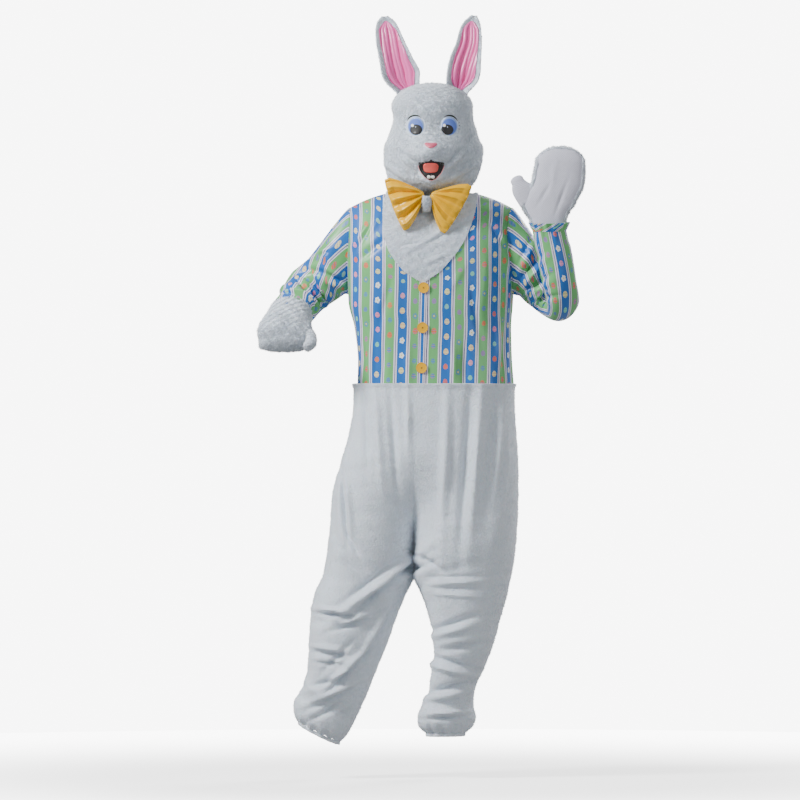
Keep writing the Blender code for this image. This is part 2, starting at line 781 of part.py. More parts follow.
BAG_SEAMS = ("first", "last", "top", "first_corner", "last_corner")
FACE_TURN = 0.05
MASK_ROWS = [
    # station, x, y, z, wide, front, back
    (0.00, 0, 0, -10, 72, 42, 38),
    (0.03, 0, 1, 5, 72, 50, 40),
    (0.05, 0, 4, 16, 74, 72, 40),
    (0.08, 2, 8, 30, 90, 108, 70),
    (0.11, 4, 8, 42, 104, 118, 94),
    (0.16, 4, 6, 59, 116, 124, 104),
    (0.26, 5, 5, 82, 124, 124, 112),
    (0.38, 6, 4, 108, 129, 122, 118),
    (0.50, 7, 3, 136, 130, 118, 121),
    (0.62, 5, 2, 162, 123, 114, 122),
    (0.72, 5, 1, 188, 115, 110, 122),
    (0.84, 5, 0, 218, 107, 106, 120),
    (1.00, 3, 0, 248, 106, 100, 114),
]
Bulge = namedtuple("Bulge", "x z wide tall out")
FACE_BULGES = [
    # muzzle, cheeks, lower jaw, brow and the two eye hollows
    Bulge(-1, 128, 44, 34, 30),
    Bulge(-42, 112, 40, 32, 12),
    Bulge(42, 112, 40, 32, 12),
    Bulge(0, 52, 44, 26, 14),
    Bulge(0, 236, 60, 30, 6),
    Bulge(-44, 192, 30, 28, -5),
    Bulge(48, 192, 30, 28, -5),
]


def mask_finish(point, angle, station):
    angle = angle % 360.0
    if 0.0 < angle < 180.0:
        fade = math.sin(math.radians(angle)) ** 0.8
        for bulge in FACE_BULGES:
            away = ((point[0] - bulge.x) / bulge.wide) ** 2 + ((point[2] - bulge.z) / bulge.tall) ** 2
            point[1] -= bulge.out * math.exp(-away) * fade
    point[0] += FACE_TURN * point[1]
    return point


MASK = Bag(
    MASK_ROWS,
    over=(1, 0, 0),
    along=(0, 0, 1),
    squareness=2.2,
    ridge=lambda across: 28.0 + 35.0 * max(1.0 - abs(across) ** 2.4, 0.0) ** 0.55,
    finish=mask_finish,
)


def make_mask():
    stations = [0.0, 0.03, 0.05, 0.08, 0.11, 0.17, 0.26, 0.35, 0.44, 0.53, 0.63, 0.74, 0.86, 1.0,
                1.25, 1.5, 1.75, 2.0]
    make_wall("mask_face", MASK, lambda part, station: (180.0 * part, station), 16, stations,
              PLUSH_WALL, *PLUSH, seams=BAG_SEAMS)
    stations = [0.0, 0.03, 0.05, 0.08, 0.11, 0.17, 0.35, 0.53, 0.74, 1.0, 1.25, 1.5, 1.75, 2.0]
    make_wall("mask_back", MASK, lambda part, station: (360.0 - 180.0 * part, station), 12,
              stations, PLUSH_WALL, *PLUSH, seams=BAG_SEAMS)


# Ears

EAR_COLUMNS = "height left right depth curl"
EAR_RIGHT = Table(EAR_COLUMNS, [
    (262, -86, -34, 6, 24),
    (284, -88, -34, 5, 24),
    (318, -120, -34, 0, 25),
    (338, -130, -32, -2, 22),
    (380, -137, -51, 2, 16),
    (423, -145, -71, 10, 12),
    (455, -147, -85, 18, 9),
    (478, -143, -97, 24, 6),
    (494, -129, -119, 28, 2),
])
EAR_LEFT = Table(EAR_COLUMNS, [
    (262, 46, 92, 6, 24),
    (284, 45, 94, 5, 24),
    (318, 44, 122, 0, 25),
    (338, 45, 129, -2, 22),
    (380, 53, 132, 2, 16),
    (423, 70, 134, 10, 12),
    (455, 78, 133, 18, 9),
    (478, 90, 129, 24, 6),
    (496, 112, 121, 28, 2),
])
EAR_WALL = 7.0
EAR_COLUMNS_ACROSS = 8
EAR_HEIGHTS = [284, 318, 340, 366, 394, 423, 450, 474, 488]


def ear_form(rows):
    """An ear curled forwards at both edges: 0 to 180 runs across it, with 90 in its middle."""
    def form(across, height):
        row = rows.at(height)
        middle, half = (row.left + row.right) / 2.0, (row.right - row.left) / 2.0
        share = (across - 90.0) / 90.0
        return np.array([middle + half * share, row.depth - row.curl * share * share, height])
    return form


def make_ears():
    crown = [bpy.data.objects["mask_face"], bpy.data.objects["mask_back"]]
    rim = 180.0 / EAR_COLUMNS_ACROSS
    for word, rows in (("right", EAR_RIGHT), ("left", EAR_LEFT)):
        form = ear_form(rows)
        make_wall("ear_fur_" + word, form, lambda part, height: (180.0 * part, height), EAR_COLUMNS_ACROSS,
                  EAR_HEIGHTS + [rows.keys[-1]], EAR_WALL, *PLUSH, facing=(0, -1, 0),
                  adjust=seat_on(crown, 1.6, (0, 0, -1)))
        make_wall("ear_satin_" + word, form, lambda part, height: (rim + (180.0 - 2 * rim) * part, height),
                  EAR_COLUMNS_ACROSS - 2, EAR_HEIGHTS[1:-1], 1.4, *EAR_SATIN,
                  lift=SEAM_GAP * 1.5 + 1.4, facing=(0, -1, 0))


# Face pieces, each following the face

def face_surface():
    """A function that finds the face's own surface at a place across and height."""
    shape = bmesh.new()
    shape.from_mesh(bpy.data.objects["mask_face"].data)
    tree = BVHTree.FromBMesh(shape)
    shape.free()

    def point_at(x, z):
        start = Vector((x, -400.0, z)) * MILLIMETRE
        return np.array(tree.ray_cast(start, Vector((0, 1, 0)), 1.0)[0] / MILLIMETRE)
    return point_at


def make_face_piece(name, face_point, outline, lift, bulge, thickness, colour, roughness, rings=2, steps=16):
    """A flat or domed piece on the face, inside an outline of (across, height) around its centre."""
    centre = np.mean([outline(2 * math.pi * step / steps) for step in range(steps)], axis=0)
    fronts, backs = [], []
    for ring in range(rings + 1):
        share = ring / rings
        for step in range(steps if ring else 1):
            edge = np.array(outline(2 * math.pi * step / steps))
            place = centre + (edge - centre) * share
            seat = face_point(*place)
            backs.append(seat + np.array([0.0, -lift, 0.0]))
            fronts.append(seat + np.array([0.0, -lift - thickness - bulge * (1.0 - share**2), 0.0]))
    layer = len(fronts)
    faces = []
    for step in range(steps):
        beside = (step + 1) % steps
        for start, order in ((0, 1), (layer, -1)):
            faces.append([start, start + 1 + step, start + 1 + beside][::order])
            for ring in range(1, rings):
                low, high = start + 1 + (ring - 1) * steps, start + 1 + ring * steps
                faces.append([low + step, high + step, high + beside, low + beside][::order])
        last = 1 + (rings - 1) * steps
        faces.append([last + step, last + beside, layer + last + beside, layer + last + step])
    add_piece(name, fronts + backs, faces, colour, roughness)


def oval(x, z, wide, tall, slant=0.0):
    def outline(turn):
        out, up = wide * math.cos(turn), tall * math.sin(turn)
        lean = math.radians(slant)
        return x + out * math.cos(lean) - up * math.sin(lean), z + out * math.sin(lean) + up * math.cos(lean)
    return outline


def wedge(x, z, wide, tall):
    """A rounded triangle with its point down, for the nose."""
    def outline(turn):
        narrow = 0.62 + 0.38 * math.sin(turn)
        return x + wide * math.cos(turn) * narrow, z + tall * math.sin(turn)
    return outline


def grin(x, z, wide, top, bottom):
    """An open smile: a nearly straight upper lip over a deep round lower one."""
    def outline(turn):
        up = math.sin(turn)
        return x + wide * math.cos(turn), z + (top if up > 0 else bottom) * up
    return outline


FACE_LIFT = 1.4
BROW_LIFT = 0.9
NOSE_LIFT = 1.6
MOUTH_LIFT = 2.6
MOUTH_WALL = 1.6
EYE_X = {"right": -43.0, "left": 49.0}
EYE_Z = 195.0


def make_face_pieces():
    face = face_surface()
    for word, x in EYE_X.items():
        make_face_piece("eye_" + word, face, oval(x, EYE_Z, 24.0, 26.0), FACE_LIFT, 5.0, 2.0, *EYE)
        brow = oval(x * 1.04, EYE_Z + 35.0, 17.0, 2.6, -14 if x > 0 else 14)
        make_face_piece("brow_" + word, face, brow, BROW_LIFT, 0.5, 1.4, *PUPIL, rings=1, steps=12)
    make_face_piece("nose", face, wedge(-1, 142, 18, 9), NOSE_LIFT, 5.0, 2.0, *EAR_SATIN, steps=12)
    make_face_piece("mouth", face, grin(0, 93, 35, 8, 44), MOUTH_LIFT, 0.0, MOUTH_WALL, *MOUTH)
    lift = MOUTH_LIFT + MOUTH_WALL + 1.0
    make_face_piece("tongue", face, oval(-1, 79, 22, 13.5), lift, 3.0, 1.6, *TONGUE, steps=12)
    for word, x in (("right", -8.2), ("left", 5.2)):
        outline = oval(x, 58.5, 6.0, 3.8)
        make_face_piece("tooth_" + word, face, outline, lift - 0.8, 0.6, 2.4, *BIB, rings=1, steps=10)


# Mittens and thumbs

def rounded_end(length, shoulder):
    return lambda across: shoulder + (length - shoulder) * max(1.0 - abs(across) ** 2.2, 0.0) ** 0.55


HIGH_MITTEN = Bag([
    # the raised mitten, palm to the front
    (0.00, 314, -135, -76, 44.6, 28, 28),
    (0.14, 311, -138, -57, 46, 27, 28),
    (0.30, 308, -141, -34, 57, 25, 28),
    (0.44, 312, -144, -8, 71, 23, 28),
    (0.56, 322, -146, 14, 72, 23, 28),
    (0.70, 337, -148, 44, 68, 23, 28),
    (1.00, 343, -152, 92, 64, 22, 27),
], over=(1, 0, 0), along=(0, -0.06, 1), ridge=rounded_end(45.0, 20.0))

HIGH_THUMB = Bag([
    (0.0, 251, -146, 13, 30, 13, 13),
    (0.5, 236, -149, 31, 25, 12, 13),
    (1.0, 231, -150, 43, 18, 11, 12),
], over=(0.63, 0, 0.78), ridge=rounded_end(18.0, 7.0))

LOW_MITTEN = Bag([
    # the lowered mitten, bent over as round a handle, palm down and back
    (0.00, -377, -66, -313, 38.5, 27, 27),
    (0.20, -381, -85, -321, 44.5, 27, 27),
    (0.45, -386, -108, -333, 60, 25, 29),
    (0.70, -389, -127, -353, 70, 23, 30),
    (1.00, -389, -136, -378, 66, 23, 28),
], over=(1, 0, 0.04), ridge=rounded_end(28.0, 15.0))

LOW_THUMB = Bag([
    (0.00, -334, -136, -362, 13, 11, 11),
    (0.35, -317, -156, -374, 13, 11, 11),
    (0.70, -318, -172, -384, 13, 11, 11),
    (1.00, -326, -184, -392, 12, 10, 10),
], over=(0, -0.5, 0.8), ridge=rounded_end(12.0, 6.0))


def make_mitten(word, hand, thumb, thumb_cloth, toward_hand, thumb_gap):
    stations = [0.0, 0.14, 0.3, 0.46, 0.62, 0.8, 1.0, 1.35, 1.7, 2.0]
    palm = make_wall("mitten_palm_" + word, hand, lambda part, station: (180.0 * part, station), 8, stations,
                     PALM_WALL, *PALM, seams=BAG_SEAMS)
    back = make_wall("mitten_back_" + word, hand, lambda part, station: (360.0 - 180.0 * part, station), 8,
                     stations, MITTEN_WALL, *PLUSH, seams=BAG_SEAMS)
    stations = [0.0, 0.35, 0.7, 1.0, 1.5, 1.95]
    make_wall("mitten_thumb_" + word, thumb, lambda part, station: (360.0 * part, station), 12, stations,
              PALM_WALL, *thumb_cloth, closed=True, adjust=seat_on([palm, back], thumb_gap, toward_hand, 25.0, 60.0))


# Bow tie

BOW_PLEATS = 7
BOW_DEPTH = -122.8
BowSection = namedtuple("BowSection", "station reach half_width front back")
BOW_SECTIONS = [
    # from the gathered end at the knot to the wide end
    BowSection(0.00, 6, 13, 9, 8),
    BowSection(0.25, 17, 26, 15, 12),
    BowSection(0.50, 33, 42, 18, 14),
    BowSection(0.75, 51, 58, 18, 14),
    BowSection(1.00, 70, 70, 15, 12),
]
BOW_ENDS = {
    # the side, where its gathered end lies, and which way the loop points
    "right": ((-15.8, 14), (-0.94, -0.35)),
    "left": ((-3.9, 14), (0.866, -0.5)),
}


def bow_loop(gathered_end, way):
    """A bow loop whose cloth is gathered at the knot and fans out in pleats."""
    rows = [
        (section.station, gathered_end[0] + way[0] * section.reach, BOW_DEPTH,
         gathered_end[1] + way[1] * section.reach, section.half_width, section.front, section.back)
        for section in BOW_SECTIONS
    ]

    def pleat(point, angle, station):
        pleat = math.cos(math.radians(angle) * BOW_PLEATS)
        point[1] += 2.4 * pleat * math.sin(math.pi * min(station / 1.8, 1.0))
        return point
    return Bag(rows, over=(abs(way[1]), 0, abs(way[0])), ridge=rounded_end(23.0, 8.0), squareness=2.7,
               along=(way[0], 0, way[1]), finish=pleat)


def make_bow():
    for word, (gathered_end, way) in BOW_ENDS.items():
        make_wall("bow_loop_" + word, bow_loop(gathered_end, way),
                  lambda part, station: (360.0 * part, station),
                  BOW_PLEATS * 2, [0.0, 0.25, 0.5, 0.75, 1.0, 1.5, 1.93], SATIN_WALL, *BOW, closed=True)
    knot = Bag([
        (0.0, -11, BOW_DEPTH, 15.0, 5.0, 15, 13),
        (0.5, -11, BOW_DEPTH + 1, 0.0, 5.6, 17, 14),
        (1.0, -11, BOW_DEPTH + 3, -16.0, 5.6, 13, 12),
    ], over=(1, 0, 0), along=(0, 0, -1), ridge=rounded_end(9.0, 3.0))
    make_wall("bow_knot", knot, lambda part, station: (360.0 * part, station),
              14, [0.0, 0.3, 0.65, 1.0, 1.5, 1.9],
              2.5, *BIB, closed=True)


def main():
    for thing in list(bpy.data.objects):
        bpy.data.objects.remove(thing, do_unlink=True)
    make_top()
    make_placket_and_bib()
    for number, station in enumerate(BUTTON_STATIONS, start=1):
        make_button("button_%d" % number, station)
    make_sleeves()
    make_trousers()
    make_mask()
    make_ears()
    make_face_pieces()
    make_mitten("left", HIGH_MITTEN, HIGH_THUMB, PALM, (0.8, 0, -0.4), 3.6)
    make_mitten("right", LOW_MITTEN, LOW_THUMB, PLUSH, (-0.65, 0.65, 0.4), 2.0)
    make_bow()


main()
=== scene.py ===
"""Looks of the easter bunny costume, in the layout of a Blender add-on.

The forms repeat the tables of the CAD source in millimetres. Each panel is a fine grid read from its form,
with creases laid on it, given its wall inwards, and a UV map in metres of the flat cloth.
"""

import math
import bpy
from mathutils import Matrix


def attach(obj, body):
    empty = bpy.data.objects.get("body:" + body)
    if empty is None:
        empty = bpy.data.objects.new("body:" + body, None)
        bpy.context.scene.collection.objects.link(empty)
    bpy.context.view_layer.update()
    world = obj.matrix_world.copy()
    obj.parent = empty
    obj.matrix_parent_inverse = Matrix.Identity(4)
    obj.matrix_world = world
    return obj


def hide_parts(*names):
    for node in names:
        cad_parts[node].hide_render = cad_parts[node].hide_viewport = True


bl_info = {
    "name": "Easter Bunny Costume",
    "version": (1, 0, 0),
    "blender": (4, 5, 0),
    "location": "View3D > Sidebar > Costume",
    "description": "Dresses the packed costume with printed satin, plush, face, bow and mittens",
    "category": "Object",
}

from collections import namedtuple

import bmesh
import bpy
import numpy as np
from mathutils import Matrix, Vector, noise
from mathutils.bvhtree import BVHTree

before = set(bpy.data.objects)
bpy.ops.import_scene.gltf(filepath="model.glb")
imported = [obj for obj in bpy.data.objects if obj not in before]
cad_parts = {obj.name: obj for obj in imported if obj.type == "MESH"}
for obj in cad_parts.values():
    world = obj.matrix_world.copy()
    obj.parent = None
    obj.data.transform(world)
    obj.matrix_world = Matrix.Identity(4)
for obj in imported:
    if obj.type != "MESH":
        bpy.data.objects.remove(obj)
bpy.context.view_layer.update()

MILLIMETRE = 0.001


# Colours

def linear(code):
    """A linear colour from a hex code in sRGB."""
    channels = [int(code[place:place + 2], 16) / 255.0 for place in (0, 2, 4)]
    return [value / 12.92 if value <= 0.04045 else ((value + 0.055) / 1.055) ** 2.4 for value in channels]


def rgba(code):
    return (*linear(code), 1.0)


# Sizes and colours that a user of the panel can change

def length_property(name, description, default):
    return bpy.props.FloatProperty(name=name, description=description, default=default, min=0.0, unit="LENGTH")


def colour_property(name, description, code):
    return bpy.props.FloatVectorProperty(name=name, description=description, default=linear(code), size=3,
                                         min=0.0, max=1.0, subtype="COLOR")


class CostumeSizes(bpy.types.PropertyGroup):
    """Real sizes of the cloths and their trimmings."""

    satin_wall: length_property("Satin wall", "Thickness of the printed satin with its facing", 0.0016)
    plush_wall: length_property("Plush wall", "Thickness of the plush with its backing", 0.005)
    stripe_repeat: length_property("Stripe repeat", "Width of one repeat of the stripes", 0.068)
    motif_step: length_property("Motif step", "Distance between two motifs along a stripe", 0.040)
    mask_pile: length_property("Mask pile", "Length of the pile on the mask", 0.0065)
    body_pile: length_property("Body pile", "Length of the pile on trousers, bib and mittens", 0.004)


class CostumeColours(bpy.types.PropertyGroup):
    """Colours of the cloths and trimmings."""

    blue: colour_property("Blue stripe", "The blue bands of the print", "2468b8")
    green: colour_property("Green stripe", "The green bands of the print", "68b26e")
    white: colour_property("White line", "The fine white lines of the print", "dfdfec")
    purple: colour_property("Purple line", "The thin line between the white ones", "5f478a")
    plush: colour_property("Plush", "The white plush", "eef1f5")
    bow: colour_property("Bow satin", "The yellow satin of the bow", "e8b000")
    ear: colour_property("Ear satin", "The pink satin in the ears", "e868ac")
    button: colour_property("Buttons", "The yellow plastic of the buttons", "e6ac00")


def sizes():
    return bpy.context.scene.costume_sizes


def colours():
    return bpy.context.scene.costume_colours


# Arithmetic on whole grids

def signed_power(value, exponent):
    return np.sign(value) * np.abs(value) ** exponent


def ease(value):
    value = np.clip(value, 0.0, 1.0)
    return value * value * (3.0 - 2.0 * value)


def unit(vectors):
    lengths = np.linalg.norm(vectors, axis=-1, keepdims=True)
    return vectors / np.maximum(lengths, 1e-12)


def stacked(x, y, z):
    return np.stack(np.broadcast_arrays(x, y, z), axis=-1).astype(float)


def scaled(vectors, amounts):
    return vectors * np.asarray(amounts)[..., None]


class Table:
    """Rows of named columns, read smoothly between its rows by the first column."""

    def __init__(self, columns, rows):
        self.row_type = namedtuple("Section", columns)
        self.values = np.array(rows, dtype=float)
        self.keys = self.values[:, 0]
        steps = np.diff(self.values, axis=0) / np.diff(self.keys)[:, None]
        self.slopes = np.zeros_like(self.values)
        self.slopes[0], self.slopes[-1] = steps[0], steps[-1]
        before, after = steps[:-1], steps[1:]
        steady = before * after > 0
        total = np.where(steady, before + after, 1.0)
        self.slopes[1:-1] = np.where(steady, 2 * before * after / total, 0.0)

    def at(self, keys):
        keys = np.clip(np.asarray(keys, dtype=float), self.keys[0], self.keys[-1])
        low = np.clip(np.searchsorted(self.keys, keys, side="right") - 1, 0, len(self.keys) - 2)
        step = self.keys[low + 1] - self.keys[low]
        part = ((keys - self.keys[low]) / step)[..., None]
        rise_start, rise_end = self.slopes[low] * step[..., None], self.slopes[low + 1] * step[..., None]
        curve = (
            self.values[low] * (2 * part**3 - 3 * part**2 + 1)
            + rise_start * (part**3 - 2 * part**2 + part)
            + self.values[low + 1] * (3 * part**2 - 2 * part**3)
            + rise_end * (part**3 - part**2)
        )
        return self.row_type(*np.moveaxis(curve, -1, 0))


Fold = namedtuple("Fold", "across along slant length width height")


def folds_at(folds, across, along):
    """The height of a table of soft ridges and troughs, each with its own size and slant."""
    total = np.zeros(np.broadcast(across, along).shape)
    for fold in folds:
        slant = math.radians(fold.slant)
        out, up = across - fold.across, along - fold.along
        lengthwise = (out * math.cos(slant) + up * math.sin(slant)) / fold.length
        crosswise = (up * math.cos(slant) - out * math.sin(slant)) / fold.width
        total = total + fold.height * np.exp(-(lengthwise**2) - crosswise**2)
    return total


def noise_at(points, step, seed):
    """Smooth noise from -1 to 1 at each point, with bumps about one step apart."""
    shift = Vector((seed * 17.3, seed * 5.1, seed * 9.7))
    flat = points.reshape(-1, 3) / step
    values = [noise.noise(Vector(point) + shift) for point in flat.tolist()]
    return np.array(values).reshape(points.shape[:-1])


class Bag:
    """A tube of rounded sections that closes in a ridge across its end.

    Angle 0 is the end of the section on the side that `over` points to, 90 its front, 180 the other end
    and 270 its back. Stations 0 to 1 follow the table and 1 to 2 the closing ridge.
    """

    def __init__(self, rows, over, ridge, squareness=2.3, along=None, finish=None):
        self.rows = Table("station x y z wide front back", rows)
        self.over = np.array(over, dtype=float)
        self.ridge = ridge
        self.power = 2.0 / squareness
        self.along = None if along is None else np.array(along, dtype=float)
        self.finish = finish

    def frame(self, station):
        if self.along is None:
            ahead, behind = self.rows.at(station + 0.04), self.rows.at(station - 0.04)
            along = unit(stacked(ahead.x - behind.x, ahead.y - behind.y, ahead.z - behind.z))
        else:
            along = np.broadcast_to(self.along, station.shape + (3,))
        over = unit(self.over - scaled(along, along @ self.over))
        return along, over, np.cross(over, along)

    def __call__(self, angle, station):
        angle, station = np.broadcast_arrays(np.asarray(angle, float), np.asarray(station, float))
        row = self.rows.at(station)
        across = signed_power(np.cos(np.radians(angle)), self.power)
        deep = signed_power(np.sin(np.radians(angle)), self.power)
        rise = np.radians(90.0 * np.clip(station - 1.0, 0.0, 1.0))
        depth = np.where(deep > 0, row.front, row.back) * np.cos(rise)
        along, over, face = self.frame(np.minimum(station, 1.0))
        point = stacked(row.x, row.y, row.z) + scaled(over, row.wide * across) + scaled(face, depth * deep)
        point = point + scaled(along, self.ridge(across) * np.sin(rise))
        return self.finish(point, angle, station) if self.finish else point


# Grids of cloth and their meshes

Cloth = namedtuple("Cloth", "outer inner normals uv closed")


def grid_normals(points, closed, facing=None):
    """Outward normals of a grid, evened out where its points draw together."""
    up = np.gradient(points, axis=0)
    if closed:
        across = (np.roll(points, -1, axis=1) - np.roll(points, 1, axis=1)) / 2.0
    else:
        across = np.gradient(points, axis=1)
    normals = np.cross(up, across)
    padded = np.pad(normals, ((1, 1), (1, 1), (0, 0)), mode="edge")
    if closed:
        padded[1:-1, 0], padded[1:-1, -1] = normals[:, -1], normals[:, 0]
    even = sum(padded[1 + y:padded.shape[0] - 1 + y, 1 + x:padded.shape[1] - 1 + x]
               for y in (-1, 0, 1) for x in (-1, 0, 1))
    normals = unit(even + normals * 3.0)
    if facing is None:
        middles = points.mean(axis=1, keepdims=True)
        sign = np.sign(np.sum((points - middles) * normals))
    else:
        sign = np.sign(np.sum(normals @ np.array(facing, dtype=float)))
    return normals * sign


def arc_uv(points, closed, width=None, level=False):
    """UV in metres: along each row across, and up each column or level for a whole row, as the cloth lay flat."""
    ring = np.concatenate([points, points[:, :1]], axis=1) if closed else points
    across = np.linalg.norm(np.diff(ring, axis=1), axis=-1)
    u = np.concatenate([np.zeros((len(ring), 1)), np.cumsum(across, axis=1)], axis=1)
    u = u - u[:, -1:] / 2.0
    up = np.linalg.norm(np.diff(ring, axis=0), axis=-1)
    v = np.concatenate([np.zeros((1, ring.shape[1])), np.cumsum(up, axis=0)], axis=0)
    if level:
        v = np.broadcast_to(v.mean(axis=1, keepdims=True), v.shape)
    return np.stack([u if width is None else width, v], axis=-1) * MILLIMETRE


def lay_cloth(points, wall, closed=False, facing=None, relief=None, lift=0.0, u=None, level=False):
    """A grid with its creases laid on, its inner side one wall further in and its flat-cloth UV."""
    normals = grid_normals(points, closed, facing)
    if relief is not None:
        points = points + scaled(normals, relief)
        normals = grid_normals(points, closed, facing)
    outer = points + normals * lift
    inner = outer - normals * (wall / MILLIMETRE)
    return Cloth(outer, inner, normals, arc_uv(outer, closed, u, level), closed)


def new_object(name, mesh, material):
    piece = bpy.data.objects.new(name, mesh)
    bpy.context.collection.objects.link(piece)
    mesh.materials.append(material)
    return piece


def build_cloth(name, cloth, material, sharp=50.0):
    """The closed wall of a cloth grid as one object, with its UV map."""
    rows, count = cloth.outer.shape[:2]
    layer = rows * count
    row, column = np.meshgrid(np.arange(rows - 1), np.arange(count if cloth.closed else count - 1), indexing="ij")
    row, column = row.ravel(), column.ravel()
    beside = (column + 1) % count
    corners = np.stack([row * count + column, row * count + beside,
                        (row + 1) * count + beside, (row + 1) * count + column], axis=1)
    places = np.stack([np.stack([row, column], 1), np.stack([row, column + 1], 1),
                       np.stack([row + 1, column + 1], 1), np.stack([row + 1, column], 1)], axis=1)
    faces = [corners, corners[:, ::-1] + layer]
    spots = [places, places[:, ::-1]]
    edges = []
    for edge_row in (0, rows - 1):
        near = np.arange(count if cloth.closed else count - 1)
        edges.append((np.full(len(near), edge_row), near, np.full(len(near), edge_row), near + 1))
    if not cloth.closed:
        for edge_column in (0, count - 1):
            near = np.arange(rows - 1)
            edges.append((near, np.full(len(near), edge_column), near + 1, np.full(len(near), edge_column)))
    for near_row, near_column, far_row, far_column in edges:
        near = near_row * count + near_column % count
        far = far_row * count + far_column % count
        faces.append(np.stack([near, far, layer + far, layer + near], axis=1))
        ends = [np.stack([near_row, near_column], 1), np.stack([far_row, far_column], 1)]
        spots.append(np.stack([ends[0], ends[1], ends[1], ends[0]], axis=1))
    faces, spots = np.concatenate(faces), np.concatenate(spots)
    vertices = np.concatenate([cloth.outer.reshape(-1, 3), cloth.inner.reshape(-1, 3)]) * MILLIMETRE
    mesh = bpy.data.meshes.new(name)
    mesh.from_pydata(vertices.tolist(), [], faces.tolist())
    uv_layer = mesh.uv_layers.new(name="cloth")
    uv_layer.data.foreach_set("uv", cloth.uv[spots[..., 0], spots[..., 1]].ravel())
    shape = bmesh.new()
    shape.from_mesh(mesh)
    bmesh.ops.recalc_face_normals(shape, faces=shape.faces[:])
    shape.to_mesh(mesh)
    shape.free()
    mesh.shade_smooth()
    mesh.set_sharp_from_angle(angle=math.radians(sharp))
    return new_object(name, mesh, material)


def place_piece(piece, slot, *nodes):
    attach(piece, "root")
    if nodes:
        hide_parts(*nodes)
    return piece


# Pile: short closed spikes that stand on a panel

def grow_pile(name, cloth, count, length, material, seed, comb=(0.0, 0.0, -0.35), keep=None, width=1.3):
    """Spikes of plush spread evenly over the outer side of a cloth, combed one way with loose curls."""
    source = np.random.default_rng(seed)
    outer, normals = cloth.outer, cloth.normals
    if cloth.closed:
        outer = np.concatenate([outer, outer[:, :1]], axis=1)
        normals = np.concatenate([normals, normals[:, :1]], axis=1)
    cells = np.linalg.norm(np.cross(outer[1:, 1:] - outer[:-1, :-1], outer[1:, :-1] - outer[:-1, 1:]), axis=-1)
    if keep is not None:
        cells = cells * keep[:-1, :-1]
    odds = cells.ravel() / cells.sum()
    chosen = source.choice(odds.size, size=count, p=odds)
    row, column = np.unravel_index(chosen, cells.shape)
    up, across = source.random(count)[:, None], source.random(count)[:, None]

    def between(grid):
        low = grid[row, column] * (1 - across) + grid[row, column + 1] * across
        high = grid[row + 1, column] * (1 - across) + grid[row + 1, column + 1] * across
        return low * (1 - up) + high * up
    root, normal = between(outer), unit(between(normals))
    curl = np.stack([np.sin(root @ np.array(wave) + seed) for wave in
                     ((0.31, 0.22, 0.13), (0.12, 0.34, -0.27), (-0.24, 0.15, 0.33))], axis=-1)
    way = unit(normal * 1.0 + np.array(comb) + curl * 0.45 + source.normal(0.0, 0.28, (count, 3)))
    side = unit(np.cross(way, source.normal(0.0, 1.0, (count, 3))))
    other = np.cross(way, side)
    tall = (length / MILLIMETRE) * source.uniform(0.55, 1.15, (count, 1))
    radius = width / 2.0
    root = root - normal * 0.6
    base = [root + (side * math.cos(turn) + other * math.sin(turn)) * radius
            for turn in (0.0, 2 * math.pi / 3, 4 * math.pi / 3)]
    vertices = np.stack([*base, root + way * tall], axis=1).reshape(-1, 3) * MILLIMETRE
    starts = np.arange(count)[:, None, None] * 4
    faces = (starts + np.array([[0, 2, 1], [0, 1, 3], [1, 2, 3], [2, 0, 3]])[None]).reshape(-1, 3)
    mesh = bpy.data.meshes.new(name)
    mesh.from_pydata(vertices.tolist(), [], faces.tolist())
    mesh.shade_smooth()
    return place_piece(new_object(name, mesh, material), "plush")


# Materials

def add_node(tree, kind, settings=(), inputs=()):
    """Add one shader node, set its own settings, then fill or link its inputs."""
    node = tree.nodes.new(kind)
    for key, value in dict(settings).items():
        setattr(node, key, value)
    for key, value in dict(inputs).items():
        socket = node.inputs[key]
        if isinstance(value, bpy.types.NodeSocket):
            tree.links.new(value, socket)
        else:
            socket.default_value = value
    return node


def calc(tree, operation, first, second=0.0, third=0.0):
    return add_node(tree, "ShaderNodeMath", {"operation": operation}, {0: first, 1: second, 2: third}).outputs[0]


def mix(tree, share, first, second):
    node = add_node(tree, "ShaderNodeMix", {"data_type": "RGBA"}, {0: share, 6: first, 7: second})
    return node.outputs[2]


def steps_ramp(tree, position, stops):
    """A colour ramp of flat steps from (position, colour) pairs."""
    node = add_node(tree, "ShaderNodeValToRGB", inputs={0: position})
    node.color_ramp.interpolation = "CONSTANT"
    elements = node.color_ramp.elements
    while len(elements) < len(stops):
        elements.new(1.0)
    for element, (place, colour) in zip(elements, stops):
        element.position = place
        element.color = colour
    return node.outputs[0]


def new_material(name, settings):
    """A material with its Principled shader set: returns it with its tree and shader."""
    material = bpy.data.materials.new(name)
    material.use_nodes = True
    tree = material.node_tree
    shader = tree.nodes["Principled BSDF"]
    for key, value in settings.items():
        shader.inputs[key].default_value = value
    return material, tree, shader


def link_bump(tree, shader, height, distance, strength=1.0):
    bump = add_node(tree, "ShaderNodeBump", inputs={"Height": height, "Distance": distance, "Strength": strength})
    tree.links.new(bump.outputs[0], shader.inputs["Normal"])


def cloth_uv(tree):
    """The two flat-cloth coordinates of a panel, in metres."""
    uv = add_node(tree, "ShaderNodeUVMap", {"uv_map": "cloth"})
    parts = add_node(tree, "ShaderNodeSeparateXYZ", inputs={0: uv.outputs[0]})
    return uv.outputs[0], parts.outputs[0], parts.outputs[1]


